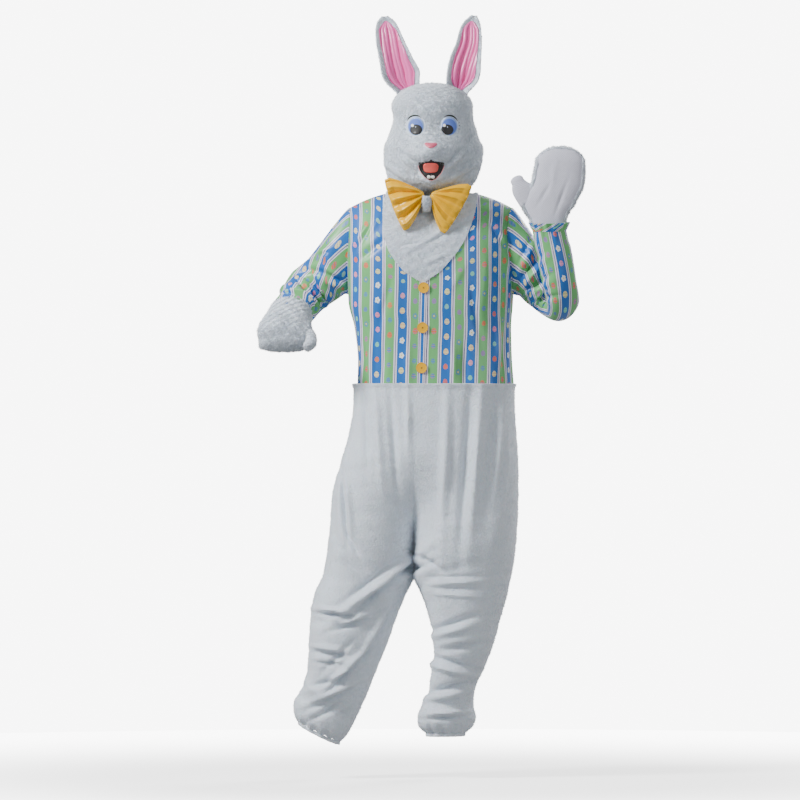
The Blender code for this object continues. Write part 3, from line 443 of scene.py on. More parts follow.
def print_material(name, motifs):
    """Printed satin: smooth sheen along the threads, striped, with eggs and flowers in the bands."""
    material, tree, shader = new_material(name, {
        "Roughness": 0.36, "Anisotropic": 0.45, "Specular IOR Level": 0.4, "Sheen Weight": 0.04,
        "Sheen Roughness": 0.4,
    })
    uv, u, v = cloth_uv(tree)
    palette = colours()
    blue, green = (*palette.blue, 1.0), (*palette.green, 1.0)
    white, purple = (*palette.white, 1.0), (*palette.purple, 1.0)
    repeats = calc(tree, "DIVIDE", u, sizes().stripe_repeat)
    away = calc(tree, "MULTIPLY", calc(tree, "PINGPONG", repeats, 0.5), 2.0)
    stripes = steps_ramp(tree, away, stripe_stops(green, white, purple, blue))
    base = stripes
    if motifs:
        base = add_motifs(tree, stripes, repeats, v)
    tree.links.new(base, shader.inputs["Base Color"])
    stretched = add_node(tree, "ShaderNodeMapping", inputs={"Vector": uv, "Scale": (26.0, 7.0, 1.0)})
    wrinkles = add_node(tree, "ShaderNodeTexNoise", inputs={
        "Vector": stretched.outputs[0], "Scale": 1.0, "Detail": 4.0,
    })
    link_bump(tree, shader, wrinkles.outputs[0], 0.004, 0.55)
    return material


def stripe_stops(green, white, purple, blue):
    """Bands from the middle of a green one to the middle of a blue one, as shares of half a repeat."""
    return [(0.0, green), (0.37, white), (0.47, purple), (0.535, white), (0.64, blue)]


def add_motifs(tree, stripes, repeats, v):
    """Eggs and five-petalled flowers, one per cell: a band across by one motif step along."""
    bands = calc(tree, "MULTIPLY", repeats, 2.0)
    band = calc(tree, "ROUND", bands)
    across = calc(tree, "MULTIPLY", calc(tree, "SUBTRACT", bands, band), sizes().stripe_repeat / 2.0 * 1000.0)
    steps = calc(tree, "DIVIDE", v, sizes().motif_step)
    staggered = calc(tree, "ADD", steps, calc(tree, "MULTIPLY", band, 0.37))
    cell = calc(tree, "FLOOR", staggered)
    inside = calc(tree, "SUBTRACT", calc(tree, "FRACT", staggered), 0.5)
    along = calc(tree, "MULTIPLY", inside, sizes().motif_step * 1000.0)
    place = add_node(tree, "ShaderNodeCombineXYZ", inputs={0: band, 1: cell, 2: 0.0})
    chance = add_node(tree, "ShaderNodeTexWhiteNoise", {"noise_dimensions": "3D"}, {"Vector": place.outputs[0]})
    kind = chance.outputs["Value"]
    shades = add_node(tree, "ShaderNodeSeparateColor", inputs={0: chance.outputs["Color"]})
    large = calc(tree, "MULTIPLY", calc(tree, "LESS_THAN", kind, 0.3), 1.5)
    half = calc(tree, "ADD", calc(tree, "MULTIPLY_ADD", shades.outputs[0], 1.6, 4.9), large)
    rise = calc(tree, "DIVIDE", along, calc(tree, "MULTIPLY", half, 1.25))
    taper = calc(tree, "MULTIPLY_ADD", rise, -0.14, 1.0)
    out = calc(tree, "DIVIDE", across, calc(tree, "MULTIPLY", half, taper))
    distance = calc(tree, "SQRT", calc(tree, "ADD", calc(tree, "POWER", out, 2.0), calc(tree, "POWER", rise, 2.0)))
    turn = calc(tree, "ARCTAN2", rise, out)
    lobes = calc(tree, "ABSOLUTE", calc(tree, "COSINE", calc(tree, "MULTIPLY", turn, 2.5)))
    petals = calc(tree, "MULTIPLY_ADD", calc(tree, "POWER", lobes, 0.5), 0.45, 0.65)
    flowered = calc(tree, "GREATER_THAN", kind, 0.80)
    reach = calc(tree, "ADD", calc(tree, "MULTIPLY", flowered, calc(tree, "SUBTRACT", petals, 1.0)), 1.0)
    motif = calc(tree, "LESS_THAN", distance, reach)
    on_blue = calc(tree, "PINGPONG", band, 1.0)
    blue_kinds = steps_ramp(tree, kind, [
        (0.0, rgba("efe0a0")), (0.30, rgba("7fd3bd")), (0.55, rgba("e4694d")), (0.70, rgba("f193ba")),
        (0.80, rgba("f1f6f4")),
    ])
    green_kinds = steps_ramp(tree, kind, [
        (0.0, rgba("dd6b4e")), (0.34, rgba("4f84bd")), (0.62, rgba("9678ad")), (0.80, rgba("5b90ab")),
    ])
    main = mix(tree, on_blue, green_kinds, blue_kinds)
    wave = calc(tree, "SINE", calc(tree, "MULTIPLY", rise, 7.5))
    waved = calc(tree, "GREATER_THAN", wave, 0.25)
    dots = calc(tree, "GREATER_THAN", calc(tree, "SINE", calc(tree, "MULTIPLY", out, 9.0)), 0.0)
    plain = calc(tree, "SUBTRACT", 1.0, flowered)
    decorated = calc(tree, "MULTIPLY", waved, calc(tree, "MULTIPLY_ADD", dots, 0.5, 0.35))
    decorated = calc(tree, "MULTIPLY", decorated, plain)
    second = steps_ramp(tree, shades.outputs[1], [
        (0.0, rgba("d97d62")), (0.35, rgba("7fae6c")), (0.7, rgba("8d7fb8")),
    ])
    trimmed = mix(tree, calc(tree, "MULTIPLY", decorated, 0.8), main, second)
    eye = calc(tree, "MULTIPLY", flowered, calc(tree, "LESS_THAN", distance, 0.3))
    centred = mix(tree, eye, trimmed, rgba("f0cf62"))
    return mix(tree, calc(tree, "MULTIPLY", motif, 0.93), stripes, centred)


def plush_material(name, code, step, depth, shade="c3ccd6", sheen=0.5):
    """Plush: a matt pile whose fibres catch light at the edges and whose tufts part in soft hollows, greyed towards the
    shade colour by painted shade in these hollows and by a broad random tone.
    """
    material, tree, shader = new_material(name, {
        "Roughness": 0.92, "Sheen Weight": sheen, "Sheen Roughness": 0.55, "Specular IOR Level": 0.2,
        "Subsurface Weight": 0.12, "Subsurface Scale": 0.01,
    })
    place = add_node(tree, "ShaderNodeTexCoord").outputs["Object"]
    tufts = add_node(tree, "ShaderNodeTexNoise", inputs={
        "Vector": place, "Scale": 1.0 / step, "Detail": 6.0, "Roughness": 0.65,
    })
    broad = add_node(tree, "ShaderNodeTexNoise", inputs={"Vector": place, "Scale": 9.0, "Detail": 2.0})
    # painted shade: the colour greys where the tuft noise is low, in the hollows that the bump sinks, scaled by a broad
    # random tone
    hollow = calc(tree, "MULTIPLY_ADD", tufts.outputs[0], -2.4, 1.75)
    hollow = add_node(tree, "ShaderNodeClamp", inputs={0: hollow}).outputs[0]
    hollow_shade_and_tone = calc(tree, "MULTIPLY", hollow, calc(tree, "MULTIPLY_ADD", broad.outputs[0], 0.5, 0.05))
    tree.links.new(mix(tree, hollow_shade_and_tone, rgba(code), rgba(shade)), shader.inputs["Base Color"])
    link_bump(tree, shader, tufts.outputs[0], depth, 1.0)
    return material


def satin_material(name, colour, roughness=0.3):
    """Plain satin: bright, soft-edged highlights along its folds."""
    material, tree, shader = new_material(name, {
        "Base Color": (*colour, 1.0), "Roughness": roughness, "Anisotropic": 0.5, "Specular IOR Level": 0.5,
        "Sheen Weight": 0.06, "Sheen Roughness": 0.35,
    })
    uv = add_node(tree, "ShaderNodeUVMap", {"uv_map": "cloth"}).outputs[0]
    weave = add_node(tree, "ShaderNodeTexNoise", inputs={"Vector": uv, "Scale": 60.0, "Detail": 3.0})
    link_bump(tree, shader, weave.outputs[0], 0.0012, 0.5)
    return material


def woven_material(name, first, second):
    """Brushed weave: a small check of threads in two greys, matt."""
    material, tree, shader = new_material(name, {"Roughness": 0.85, "Sheen Weight": 0.3, "Sheen Roughness": 0.5})
    uv = add_node(tree, "ShaderNodeUVMap", {"uv_map": "cloth"}).outputs[0]
    check = add_node(tree, "ShaderNodeTexChecker", inputs={
        "Vector": uv, "Color1": rgba(first), "Color2": rgba(second), "Scale": 420.0,
    })
    soft = add_node(tree, "ShaderNodeTexNoise", inputs={"Vector": uv, "Scale": 90.0, "Detail": 4.0})
    blend = mix(tree, calc(tree, "MULTIPLY", soft.outputs[0], 0.7), check.outputs[0], rgba(first))
    tree.links.new(blend, shader.inputs["Base Color"])
    link_bump(tree, shader, check.outputs[1], 0.0006, 0.6)
    return material


def plain_material(name, colour, roughness, coat=0.0):
    """One even colour, with a clear glossy skin where coat is given."""
    material, _, _ = new_material(name, {
        "Base Color": (*colour, 1.0), "Roughness": roughness, "Coat Weight": coat, "Coat Roughness": 0.08,
    })
    return material


Spot = namedtuple("Spot", "code x z wide tall")


def eye_material(name, spots):
    """Printed eye under a clear gloss: each spot is an oval laid over the one before, in millimetres."""
    material, tree, shader = new_material(name, {"Roughness": 0.6, "Coat Weight": 0.12, "Coat Roughness": 0.1})
    _, u, v = cloth_uv(tree)
    base = rgba("d5e3f5")
    for spot in spots:
        out = calc(tree, "DIVIDE", calc(tree, "MULTIPLY_ADD", u, 1000.0, -spot.x), spot.wide)
        up = calc(tree, "DIVIDE", calc(tree, "MULTIPLY_ADD", v, 1000.0, -spot.z), spot.tall)
        away = calc(tree, "ADD", calc(tree, "POWER", out, 2.0), calc(tree, "POWER", up, 2.0))
        edge = calc(tree, "MULTIPLY_ADD", away, -6.0, 6.5)
        edge = add_node(tree, "ShaderNodeClamp", inputs={0: edge}).outputs[0]
        base = mix(tree, edge, base, rgba(spot.code))
    tree.links.new(base, shader.inputs["Base Color"])
    return material


def shared_material(name, make, *arguments):
    """One material by name, made the first time that it is asked for."""
    return bpy.data.materials.get(name) or make(name, *arguments)


def print_cloth():
    return shared_material("printed satin", print_material, True)


def mask_plush():
    return shared_material("curly plush", plush_material, "e9f1fa", 0.006, 0.0036, "a9b7c8")


def body_plush():
    return shared_material("short plush", plush_material, "e4edf7", 0.005, 0.0028, "b3c0cf")


def pile_white():
    return shared_material("plush pile", plain_pile)


def plain_pile(name):
    """The ends of the pile: matt white fibres, bright where light grazes them."""
    material, _, _ = new_material(name, {
        "Base Color": rgba("e9f1fa"), "Roughness": 0.9, "Sheen Weight": 0.4, "Sheen Roughness": 0.5,
        "Specular IOR Level": 0.2,
    })
    return material


# Body of the jumpsuit top

TURN = 0.2
SHOULDER_HEIGHT, SHOULDER_DROP = 230.0, 52.0
TORSO_ROWS = [
    # station, x, y, z, wide, front, back
    (0.00, 13, 0, -492, 206, 122, 118),
    (0.25, 11, 0, -420, 203, 121, 116),
    (0.50, 6, 0, -346, 206, 124, 118),
    (0.75, 0, 0, -272, 217, 129, 122),
    (1.00, 0, 0, -200, 219, 130, 124),
]
TORSO_FOLDS = [
    Fold(40, 0.12, 90, 0.35, 7, 4),
    Fold(62, 0.08, 90, 0.25, 6, -3),
    Fold(118, 0.10, 90, 0.30, 6, 4),
    Fold(145, 0.15, 90, 0.35, 8, 4),
    Fold(215, 0.15, 90, 0.35, 8, 5),
    Fold(250, 0.10, 90, 0.30, 7, 4),
    Fold(290, 0.10, 90, 0.30, 7, 4),
    Fold(325, 0.15, 90, 0.35, 8, 5),
]
TOP_CREASES = [
    # creases of the fronts by place across and height: from the armholes, then over the waist seam
    Fold(-172, -88, 57, 46, 7, -10),
    Fold(-184, -98, 57, 46, 9, 8),
    Fold(-150, -60, 60, 40, 9, 6),
    Fold(-150, -128, 40, 50, 8, -6),
    Fold(178, -96, 120, 44, 7, -8),
    Fold(190, -104, 120, 44, 8, 6),
    Fold(196, -400, 88, 60, 7, -8),
    Fold(180, -395, 88, 60, 9, 7),
    Fold(205, -170, 100, 50, 8, 6),
    Fold(-160, -430, 92, 60, 9, 7),
    Fold(-178, -440, 92, 60, 7, -8),
    Fold(-128, -440, 88, 60, 9, -6),
    Fold(-95, -250, 95, 90, 14, 4),
    Fold(-120, -270, 75, 70, 9, -5),
    Fold(60, -440, 90, 60, 9, 6),
    Fold(90, -450, 90, 55, 9, -7),
    Fold(-60, -450, 92, 55, 9, 6),
    Fold(140, -230, 85, 80, 13, 4),
    Fold(118, -300, 100, 70, 9, -5),
    Fold(70, -210, 60, 50, 10, 3),
]


def torso_finish(point, angle, station):
    centre = TORSO.rows.at(station)
    out = unit(stacked(point[..., 0] - centre.x, point[..., 1], 0.0) + 1e-9)
    point = point + scaled(out, folds_at(TORSO_FOLDS, angle % 360.0, station))
    point[..., 0] += TURN * point[..., 1]
    return point


TORSO = Bag(
    TORSO_ROWS,
    over=(1, 0, 0),
    along=(0, 0, 1),
    squareness=2.6,
    ridge=lambda across: SHOULDER_HEIGHT - SHOULDER_DROP * np.abs(across) ** 2.4,
    finish=torso_finish,
)
ARMPIT = 0.812
ARMHOLE_STATIONS = [ARMPIT, 0.86, 0.914, 0.945, 1.06, 1.2, 1.35, 1.5, 1.65, 1.8, 1.92, 2.0]
NECK_POINT = 0.914
PLACKET_FOOT, PLACKET_TOP = -27.0, -20.0
NECK_LINE = Table("station left right", [
    # the two edges of the V neck, from its point up
    (NECK_POINT, PLACKET_TOP, PLACKET_TOP),
    (0.945, -38, -8),
    (1.06, -86, 38),
    (1.20, -116, 76),
    (1.35, -128, 100),
    (1.50, -129, 113),
    (1.65, -127, 120),
    (1.80, -122, 124),
    (2.00, -118, 126),
])
BACK_NECK, BACK_NECK_HALF = 1.72, 122.0
SEAM_GAP = 0.3
GREEN_FROM_PLACKET = {1: 30.0, -1: -20.0}


def armhole_angle(station):
    """How far the armhole cuts into the panels, in degrees from the side seam."""
    part = np.clip((station - ARMPIT) / (2.0 - ARMPIT), 0.0, 1.0)
    return 8.0 * part + 13.0 * np.sin(np.pi * part)


def angle_at(form, x, station, near, far):
    """The angle between two others where a form reaches a given place across, for each station."""
    near, far = np.broadcast_to(near, station.shape).astype(float), np.broadcast_to(far, station.shape).astype(float)
    for _ in range(30):
        middle = (near + far) / 2.0
        same = (form(middle, station)[..., 0] - x) * (form(near, station)[..., 0] - x) > 0
        near, far = np.where(same, middle, near), np.where(same, far, middle)
    return (near + far) / 2.0


def placket_seam(station):
    """How far across the placket's middle lies at each station."""
    return PLACKET_FOOT + (PLACKET_TOP - PLACKET_FOOT) * np.minimum(station / NECK_POINT, 1.0)


def front_edge(side, station):
    """The angle of a front's inner edge: the placket seam, then its side of the V neck."""
    edge = NECK_LINE.at(station)
    x = np.where(station <= NECK_POINT, placket_seam(station), edge.right if side > 0 else edge.left)
    return angle_at(TORSO, x, station, 20.0, 160.0) if side > 0 else angle_at(TORSO, x, station, 160.0, 20.0)


def cloth_across(angle, stations):
    """Millimetres of cloth round the body from the placket's line to each angle, row by row."""
    turns = np.linspace(-180.0, 360.0, 541)
    sections = TORSO(turns[None, :], stations[:, None])
    steps = np.linalg.norm(np.diff(sections, axis=1), axis=-1)
    lengths = np.concatenate([np.zeros((len(stations), 1)), np.cumsum(steps, axis=1)], axis=1)
    middles = angle_at(TORSO, placket_seam(stations), stations, 20.0, 160.0)
    return np.array([np.interp(middle, turns, row) - np.interp(ends, turns, row)
                     for middle, row, ends in zip(middles, lengths, angle)])


def torso_panel(inner_angle, outer_angle, stations, columns, wall, phase):
    part = np.linspace(0.0, 1.0, columns)[None, :]
    angle = outer_angle[:, None] + (inner_angle - outer_angle)[:, None] * part
    points = TORSO(angle, stations[:, None])
    relief = folds_at(TOP_CREASES, points[..., 0], points[..., 2]) * ease(-points[..., 1] / 60.0)
    return lay_cloth(points, wall, relief=relief, u=cloth_across(angle, stations) - phase)


def close_rows(count):
    """Stations of a panel from the waist seam over the shoulder, closer together round its end."""
    low = np.linspace(0.0, 1.0, count)
    high = 1.0 + np.linspace(0.0, 1.0, count // 2 + 1)[1:]
    return np.concatenate([low, high])


def make_top():
    """Fronts and backs of the top in printed satin."""
    stations = close_rows(110)
    pieces = []
    for side, word in ((1, "left"), (-1, "right")):
        outer = armhole_angle(stations) if side > 0 else 180.0 - armhole_angle(stations)
        cloth = torso_panel(front_edge(side, stations), outer, stations, 80, sizes().satin_wall,
                            GREEN_FROM_PLACKET[side])
        piece = build_cloth("top_front_panel_" + word, cloth, print_cloth())
        place_piece(piece, "print_satin", "top_front_" + word)
        pieces.append(piece)
        outer = -armhole_angle(stations) if side > 0 else 180.0 + armhole_angle(stations)
        middle = np.full(stations.shape, -90.0 if side > 0 else 270.0)
        reach = BACK_NECK_HALF * (np.clip(stations - BACK_NECK, 0.0, 1.0) / (2.0 - BACK_NECK)) ** 0.6
        neck = angle_at(TORSO, side * reach + TURN * 40.0, stations, outer, middle)
        middle = np.where(stations > BACK_NECK, neck, middle)
        cloth = torso_panel(middle, outer, stations, 56, sizes().satin_wall, GREEN_FROM_PLACKET[side])
        piece = build_cloth("top_back_panel_" + word, cloth, print_cloth())
        place_piece(piece, "print_satin", "top_back_" + word)
        pieces.append(piece)
    return pieces


# Placket, bib and buttons

PLACKET_HALF = 11.0
PLACKET_END = 0.935
PLACKET_LIFT = 1.9
BIB_FOOT, BIB_TOP = 0.918, 1.62
PLUSH_PROUD = 3.0
BIB_CREASES = [
    Fold(-60, -60, 25, 50, 6, 3),
    Fold(-10, -110, 30, 60, 6, 3),
    Fold(40, -90, 30, 60, 6, -3),
    Fold(-50, -120, 10, 40, 5, -2),
    Fold(10, -160, 25, 40, 5, 2),
]


def make_placket():
    """The button placket: a narrow striped facing with a row of stitches down both edges."""
    part = np.linspace(-1.0, 1.0, 27)[None, :]
    stations = np.linspace(0.0, PLACKET_END, 140)[:, None] + 0.0 * part
    points = TORSO(angle_at(TORSO, placket_seam(stations) + PLACKET_HALF * part, stations, 20.0, 160.0), stations)
    relief = -0.8 * np.exp(-((np.abs(part) - 0.80) / 0.09) ** 2) + 0.0 * stations
    away = np.interp(np.abs(part[0]), [0.0, 0.32, 1.0], [1.0, 0.64, 0.372])
    half = sizes().stripe_repeat / MILLIMETRE / 2.0
    u = np.where(part < 0, away, 2.0 - away) * half + 0.0 * stations
    cloth = lay_cloth(points, sizes().satin_wall, facing=(0, -1, 0), relief=relief, lift=PLACKET_LIFT, u=u)
    piece = build_cloth("placket_facing", cloth, shared_material("printed facing", print_material, False))
    place_piece(piece, "print_satin", "button_placket")


def make_bib():
    """The plush bib behind the V neck."""
    share = np.linspace(0.0, 1.0, 100)[:, None]
    part = np.linspace(0.0, 1.0, 90)[None, :]
    top = BIB_TOP + (2.0 - BIB_TOP) * np.abs(2.0 * part - 1.0) ** 2.2
    own = BIB_FOOT + (top - BIB_FOOT) * share
    left, right = front_edge(-1, own), front_edge(1, own)
    points = TORSO(left + (right - left) * part, own)
    relief = folds_at(BIB_CREASES, points[..., 0], points[..., 2])
    relief = relief + noise_at(points, 14.0, 3) * 1.2
    cloth = lay_cloth(points, sizes().plush_wall, relief=relief, lift=PLUSH_PROUD)
    piece = build_cloth("bib_panel", cloth, body_plush())
    place_piece(piece, "plush", "bib")
    pile = grow_pile("bib_pile", cloth, 24000, sizes().body_pile, pile_white(), 11)


BUTTON_STATIONS = [0.145, 0.51, 0.872]
BUTTON_RADIUS = 0.0145
BUTTON_HOLE_RING = 0.0026


def turned_button(name, seat, normal):
    """A button from a cylinder: its face sunk inside a raised rim, then bevelled and set on its seat."""
    bpy.ops.object.select_all(action="DESELECT")
    bpy.ops.mesh.primitive_cylinder_add(vertices=64, radius=BUTTON_RADIUS, depth=0.0042, location=(0, 0, 0.0021))
    button = bpy.context.object
    button.name = name
    bpy.ops.object.transform_apply(location=True)
    bpy.ops.object.mode_set(mode="EDIT")
    bpy.ops.mesh.select_all(action="DESELECT")
    bpy.ops.object.mode_set(mode="OBJECT")
    for face in button.data.polygons:
        face.select = face.normal.z > 0.9
    bpy.ops.object.mode_set(mode="EDIT")
    bpy.ops.mesh.inset(thickness=0.0038)
    bpy.ops.transform.translate(value=(0, 0, -0.0013))
    bpy.ops.mesh.inset(thickness=0.0012)
    bpy.ops.object.mode_set(mode="OBJECT")
    bevel = button.modifiers.new("edges", "BEVEL")
    bevel.width = 0.0008
    bevel.segments = 3
    bevel.limit_method = "ANGLE"
    bpy.ops.object.modifier_apply(modifier=bevel.name)
    bpy.ops.object.shade_smooth_by_angle(angle=math.radians(40))
    turn = Vector((0, 0, 1)).rotation_difference(Vector(normal)).to_matrix().to_4x4()
    button.data.transform(turn)
    button.data.transform(Matrix.Translation(Vector(seat)))
    return button


def tube(name, path, radius, material, sides=8):
    """A closed cord along a path of points in millimetres."""
    path = np.array(path, dtype=float)
    ways = unit(np.gradient(path, axis=0))
    helper = np.array([0.0, 0.0, 1.0]) if abs(ways[0][2]) < 0.9 else np.array([1.0, 0.0, 0.0])
    side = unit(np.cross(ways, helper))
    other = np.cross(ways, side)
    radii = np.broadcast_to(radius, (len(path),)).astype(float)
    turns = np.linspace(0.0, 2 * np.pi, sides, endpoint=False)
    rings = [path + scaled(side, radii * np.cos(turn)) + scaled(other, radii * np.sin(turn)) for turn in turns]
    points = np.stack(rings, axis=1)
    vertices = np.concatenate([points.reshape(-1, 3), path[:1], path[-1:]]) * MILLIMETRE
    faces = []
    last = len(path) * sides
    for column in range(sides):
        beside = (column + 1) % sides
        for row in range(len(path) - 1):
            faces.append([row * sides + column, row * sides + beside,
                          (row + 1) * sides + beside, (row + 1) * sides + column])
        faces.append([last, beside, column])
        end = (len(path) - 1) * sides
        faces.append([last + 1, end + column, end + beside])
    mesh = bpy.data.meshes.new(name)
    mesh.from_pydata(vertices.tolist(), [], faces)
    shape = bmesh.new()
    shape.from_mesh(mesh)
    bmesh.ops.recalc_face_normals(shape, faces=shape.faces[:])
    shape.to_mesh(mesh)
    shape.free()
    mesh.shade_smooth()
    return new_object(name, mesh, material)


def make_buttons():
    """Three turned buttons, each held by a short loop of thread."""
    plastic = shared_material("yellow button plastic", plain_material, list(colours().button), 0.25, 0.5)
    thread = shared_material("dark thread", plain_material, linear("6d5426"), 0.8)
    for number, station in enumerate(BUTTON_STATIONS, start=1):
        place = np.array([station])
        angle = front_edge(-1, place)
        seat = TORSO(angle, place)[0]
        normal = np.cross(TORSO(angle + 1.0, place)[0] - seat, TORSO(angle, place + 0.004)[0] - seat)
        normal = unit(normal if normal[1] < 0 else -normal)
        seat = seat + normal * (PLACKET_LIFT + SEAM_GAP)
        button = turned_button("coat_button_%d" % number, seat * MILLIMETRE, normal)
        button.data.materials.append(plastic)
        place_piece(button, "button", "button_%d" % number)
        side = unit(np.cross((0, 0, 1), normal))
        up = np.cross(normal, side)
        bow = np.linspace(-1.0, 1.0, 9)
        for turn in (45.0, -45.0):
            way = side * math.cos(math.radians(turn)) + up * math.sin(math.radians(turn))
            path = [seat + way * 2.6 * step + normal * (2.9 + 0.9 * (1.0 - step * step)) for step in bow]
            stitch = tube("button_thread_%d_%s" % (number, "rising" if turn > 0 else "falling"), path, 0.45, thread)
            place_piece(stitch, "button")


# Sleeves

ARMHOLE_BLEND = 0.12
SLEEVE_CLEAR = 2.5
RUFFLE_WAVES = 16
RUFFLE_LENGTH = 22.0


class Arm:
    """Sections that start at the armhole of one side, each with its own direction towards its top line."""

    def __init__(self, side, rows, folds):
        self.side = side
        self.rows = Table("station x y z tall deep up_x up_y up_z", rows)
        self.folds = folds
        stations = np.array(ARMHOLE_STATIONS)
        heights = TORSO(armhole_angle(stations), stations)[:, 2]
        middle, half = (heights[0] + heights[-1]) / 2.0, (heights[-1] - heights[0]) / 2.0
        self.armhole_angles = np.degrees(np.arccos(np.clip((middle - heights) / half, -1.0, 1.0)))

    def centre(self, station):
        row = self.rows.at(station)
        return stacked(row.x, row.y, row.z)

    def frame(self, station):
        row = self.rows.at(station)
        up = unit(stacked(row.up_x, row.up_y, row.up_z))
        along = self.centre(np.minimum(station + 0.03, 1.0)) - self.centre(np.maximum(station - 0.03, 0.0))
        along = unit(along - scaled(up, np.sum(along * up, axis=-1)))
        return along, up, np.cross(along, up) * self.side

    def armhole(self, angle):
        """The armhole at an angle: 0 the armpit, 90 its front, 180 the shoulder and 270 its back."""
        nearer = np.where(angle <= 180.0, angle, 360.0 - angle)
        station = np.interp(nearer, self.armhole_angles, ARMHOLE_STATIONS)
        cut = armhole_angle(station) * np.where(angle <= 180.0, 1.0, -1.0)
        point = TORSO(cut if self.side > 0 else 180.0 - cut, station)
        return point + np.array([self.side * SEAM_GAP, 0.0, 0.0])

    def __call__(self, angle, station):
        """Angle 0 is the armpit, 90 the front, 180 the top and 270 the back of the sleeve."""
        angle, station = np.broadcast_arrays(angle, np.clip(station, 0.0, 1.0))
        row = self.rows.at(station)
        _, up, front = self.frame(station)
        turn = np.radians(angle)
        swell = folds_at(self.folds, angle % 360.0, station * 100.0)
        ring = self.centre(station) - scaled(up, (row.tall + swell) * np.cos(turn))
        ring = ring + scaled(front, (row.deep + swell) * np.sin(turn))
        loose = np.clip(station / ARMHOLE_BLEND, 0.0, 1.0)[..., None]
        return self.armhole(angle % 360.0) * (1.0 - loose) + ring * loose


LOW_ARM = Arm(-1, [
    # station, x, y, z, tall, deep, up_x, up_y, up_z
    (0.00, -231, 0, -140, 114, 48, -0.05, 0, 1.00),
    (0.12, -248, 8, -163, 91, 56, -0.16, 0, 0.99),
    (0.26, -276, 24, -194, 76, 58, -0.32, 0, 0.95),
    (0.40, -305, 34, -223, 66, 55, -0.46, 0, 0.89),
    (0.54, -331, 28, -249, 61, 52, -0.60, 0, 0.80),
    (0.68, -354, 6, -273, 59, 52, -0.68, 0, 0.73),
    (0.84, -370, -28, -296, 56, 52, -0.72, 0, 0.69),
    (1.00, -377, -60, -312, 44, 44, -0.74, 0, 0.67),
], [
    Fold(60, 30, 25, 60, 8, -3),
    Fold(150, 64, -15, 60, 8, 4),
    Fold(60, 76, 10, 60, 8, 3),
    Fold(200, 56, 15, 60, 8, 4),
    Fold(200, 76, -10, 70, 7, -4),
    Fold(300, 50, 20, 60, 8, -3),
    Fold(150, 86, 10, 80, 6, 4),
    Fold(290, 84, 0, 80, 6, 3),
])
LOW_ARM_CREASES = [
    # round the sleeve by angle, along it in hundredths
    Fold(70, 44, 8, 55, 2.6, -6),
    Fold(75, 50, 5, 60, 2.8, 5),
    Fold(60, 57, 4, 55, 2.6, -6),
    Fold(80, 64, -6, 60, 3.0, 5),
    Fold(70, 71, -8, 55, 2.6, -5),
    Fold(100, 80, 3, 70, 2.6, 4),
    Fold(120, 88, -3, 80, 2.4, -4),
    Fold(100, 94, 0, 90, 2.2, 3),
    Fold(130, 24, 30, 60, 4.0, 4),
    Fold(110, 32, 25, 60, 3.2, -4),
    Fold(200, 68, -4, 60, 2.6, 4),
]
LOW_ARM_FRONT = [
    # deep folds of the front of the bent sleeve, by place across and height
    Fold(-250, -214, -22, 38, 6, -11),
    Fold(-246, -201, -22, 40, 8, 8),
    Fold(-254, -228, -20, 36, 8, 6),
    Fold(-320, -250, -42, 34, 6, -11),
    Fold(-310, -240, -42, 36, 8, 7),
    Fold(-330, -262, -42, 30, 7, 6),
    Fold(-283, -280, -20, 20, 5, -8),
    Fold(-286, -144, 22, 14, 5, -7),
    Fold(-275, -160, -55, 36, 8, 5),
]
HIGH_ARM = Arm(1, [
    (0.00, 231, 0, -140, 114, 48, 0.05, 0, 1.00),
    (0.12, 249, 3, -166, 92, 56, 0.12, 0.02, 0.99),
    (0.24, 276, 10, -204, 72, 56, 0.30, 0.12, 0.94),
    (0.36, 305, 18, -243, 56, 47, 0.52, 0.32, 0.78),
    (0.46, 330, 8, -274, 48, 38, 0.68, 0.50, 0.52),
    (0.55, 346, -26, -289, 46, 35, 0.74, 0.58, 0.34),
    (0.64, 350, -68, -275, 46, 35, 0.75, 0.58, 0.30),
    (0.73, 344, -96, -234, 47, 41, 0.76, 0.59, 0.28),
    (0.86, 331, -114, -162, 47, 47, 0.78, 0.60, 0.16),
    (1.00, 315, -132, -86, 44, 44, 0.79, 0.61, 0.06),
], [
    Fold(60, 16, 20, 60, 7, -4),
    Fold(80, 25, -15, 55, 7, 3),
    Fold(180, 30, 10, 60, 7, 4),
    Fold(190, 48, 0, 60, 7, 4),
    Fold(260, 40, 0, 60, 7, 4),
    Fold(200, 62, 10, 50, 7, 4),
    Fold(270, 74, 10, 60, 7, 3),
    Fold(130, 88, 0, 60, 6, 3),
])
HIGH_ARM_CREASES = [
    Fold(80, 14, 12, 60, 2.4, -5),
    Fold(80, 19, 8, 60, 2.4, 4),
    Fold(70, 24, 4, 60, 2.2, -5),
    Fold(80, 30, 0, 60, 2.2, 4),
    Fold(70, 35, -4, 55, 2.0, -5),
    Fold(80, 40, -4, 55, 2.0, 4),
    Fold(110, 70, 8, 60, 2.2, -4),
    Fold(120, 77, 6, 60, 2.2, 4),
    Fold(100, 84, -4, 70, 2.2, -3),
    Fold(120, 92, 0, 90, 2.2, 3),
]


HIGH_ARM_FRONT = [
    # folds that fan out from the raised elbow
    Fold(248, -142, 62, 44, 6, -8),
    Fold(258, -150, 60, 44, 8, 6),
    Fold(262, -186, 48, 44, 6, -8),
    Fold(272, -196, 46, 42, 8, 6),
    Fold(278, -226, 32, 40, 6, -8),
    Fold(286, -240, 28, 38, 8, 6),
    Fold(300, -266, 12, 36, 6, -7),
]


def body_tree():
    """The surface of the top, to keep the sleeves clear of it."""
    shape = bmesh.new()
    for word in ("front_panel_left", "front_panel_right", "back_panel_left", "back_panel_right"):
        shape.from_mesh(bpy.data.objects["top_" + word].data)
    tree = BVHTree.FromBMesh(shape)
    shape.free()
    return tree


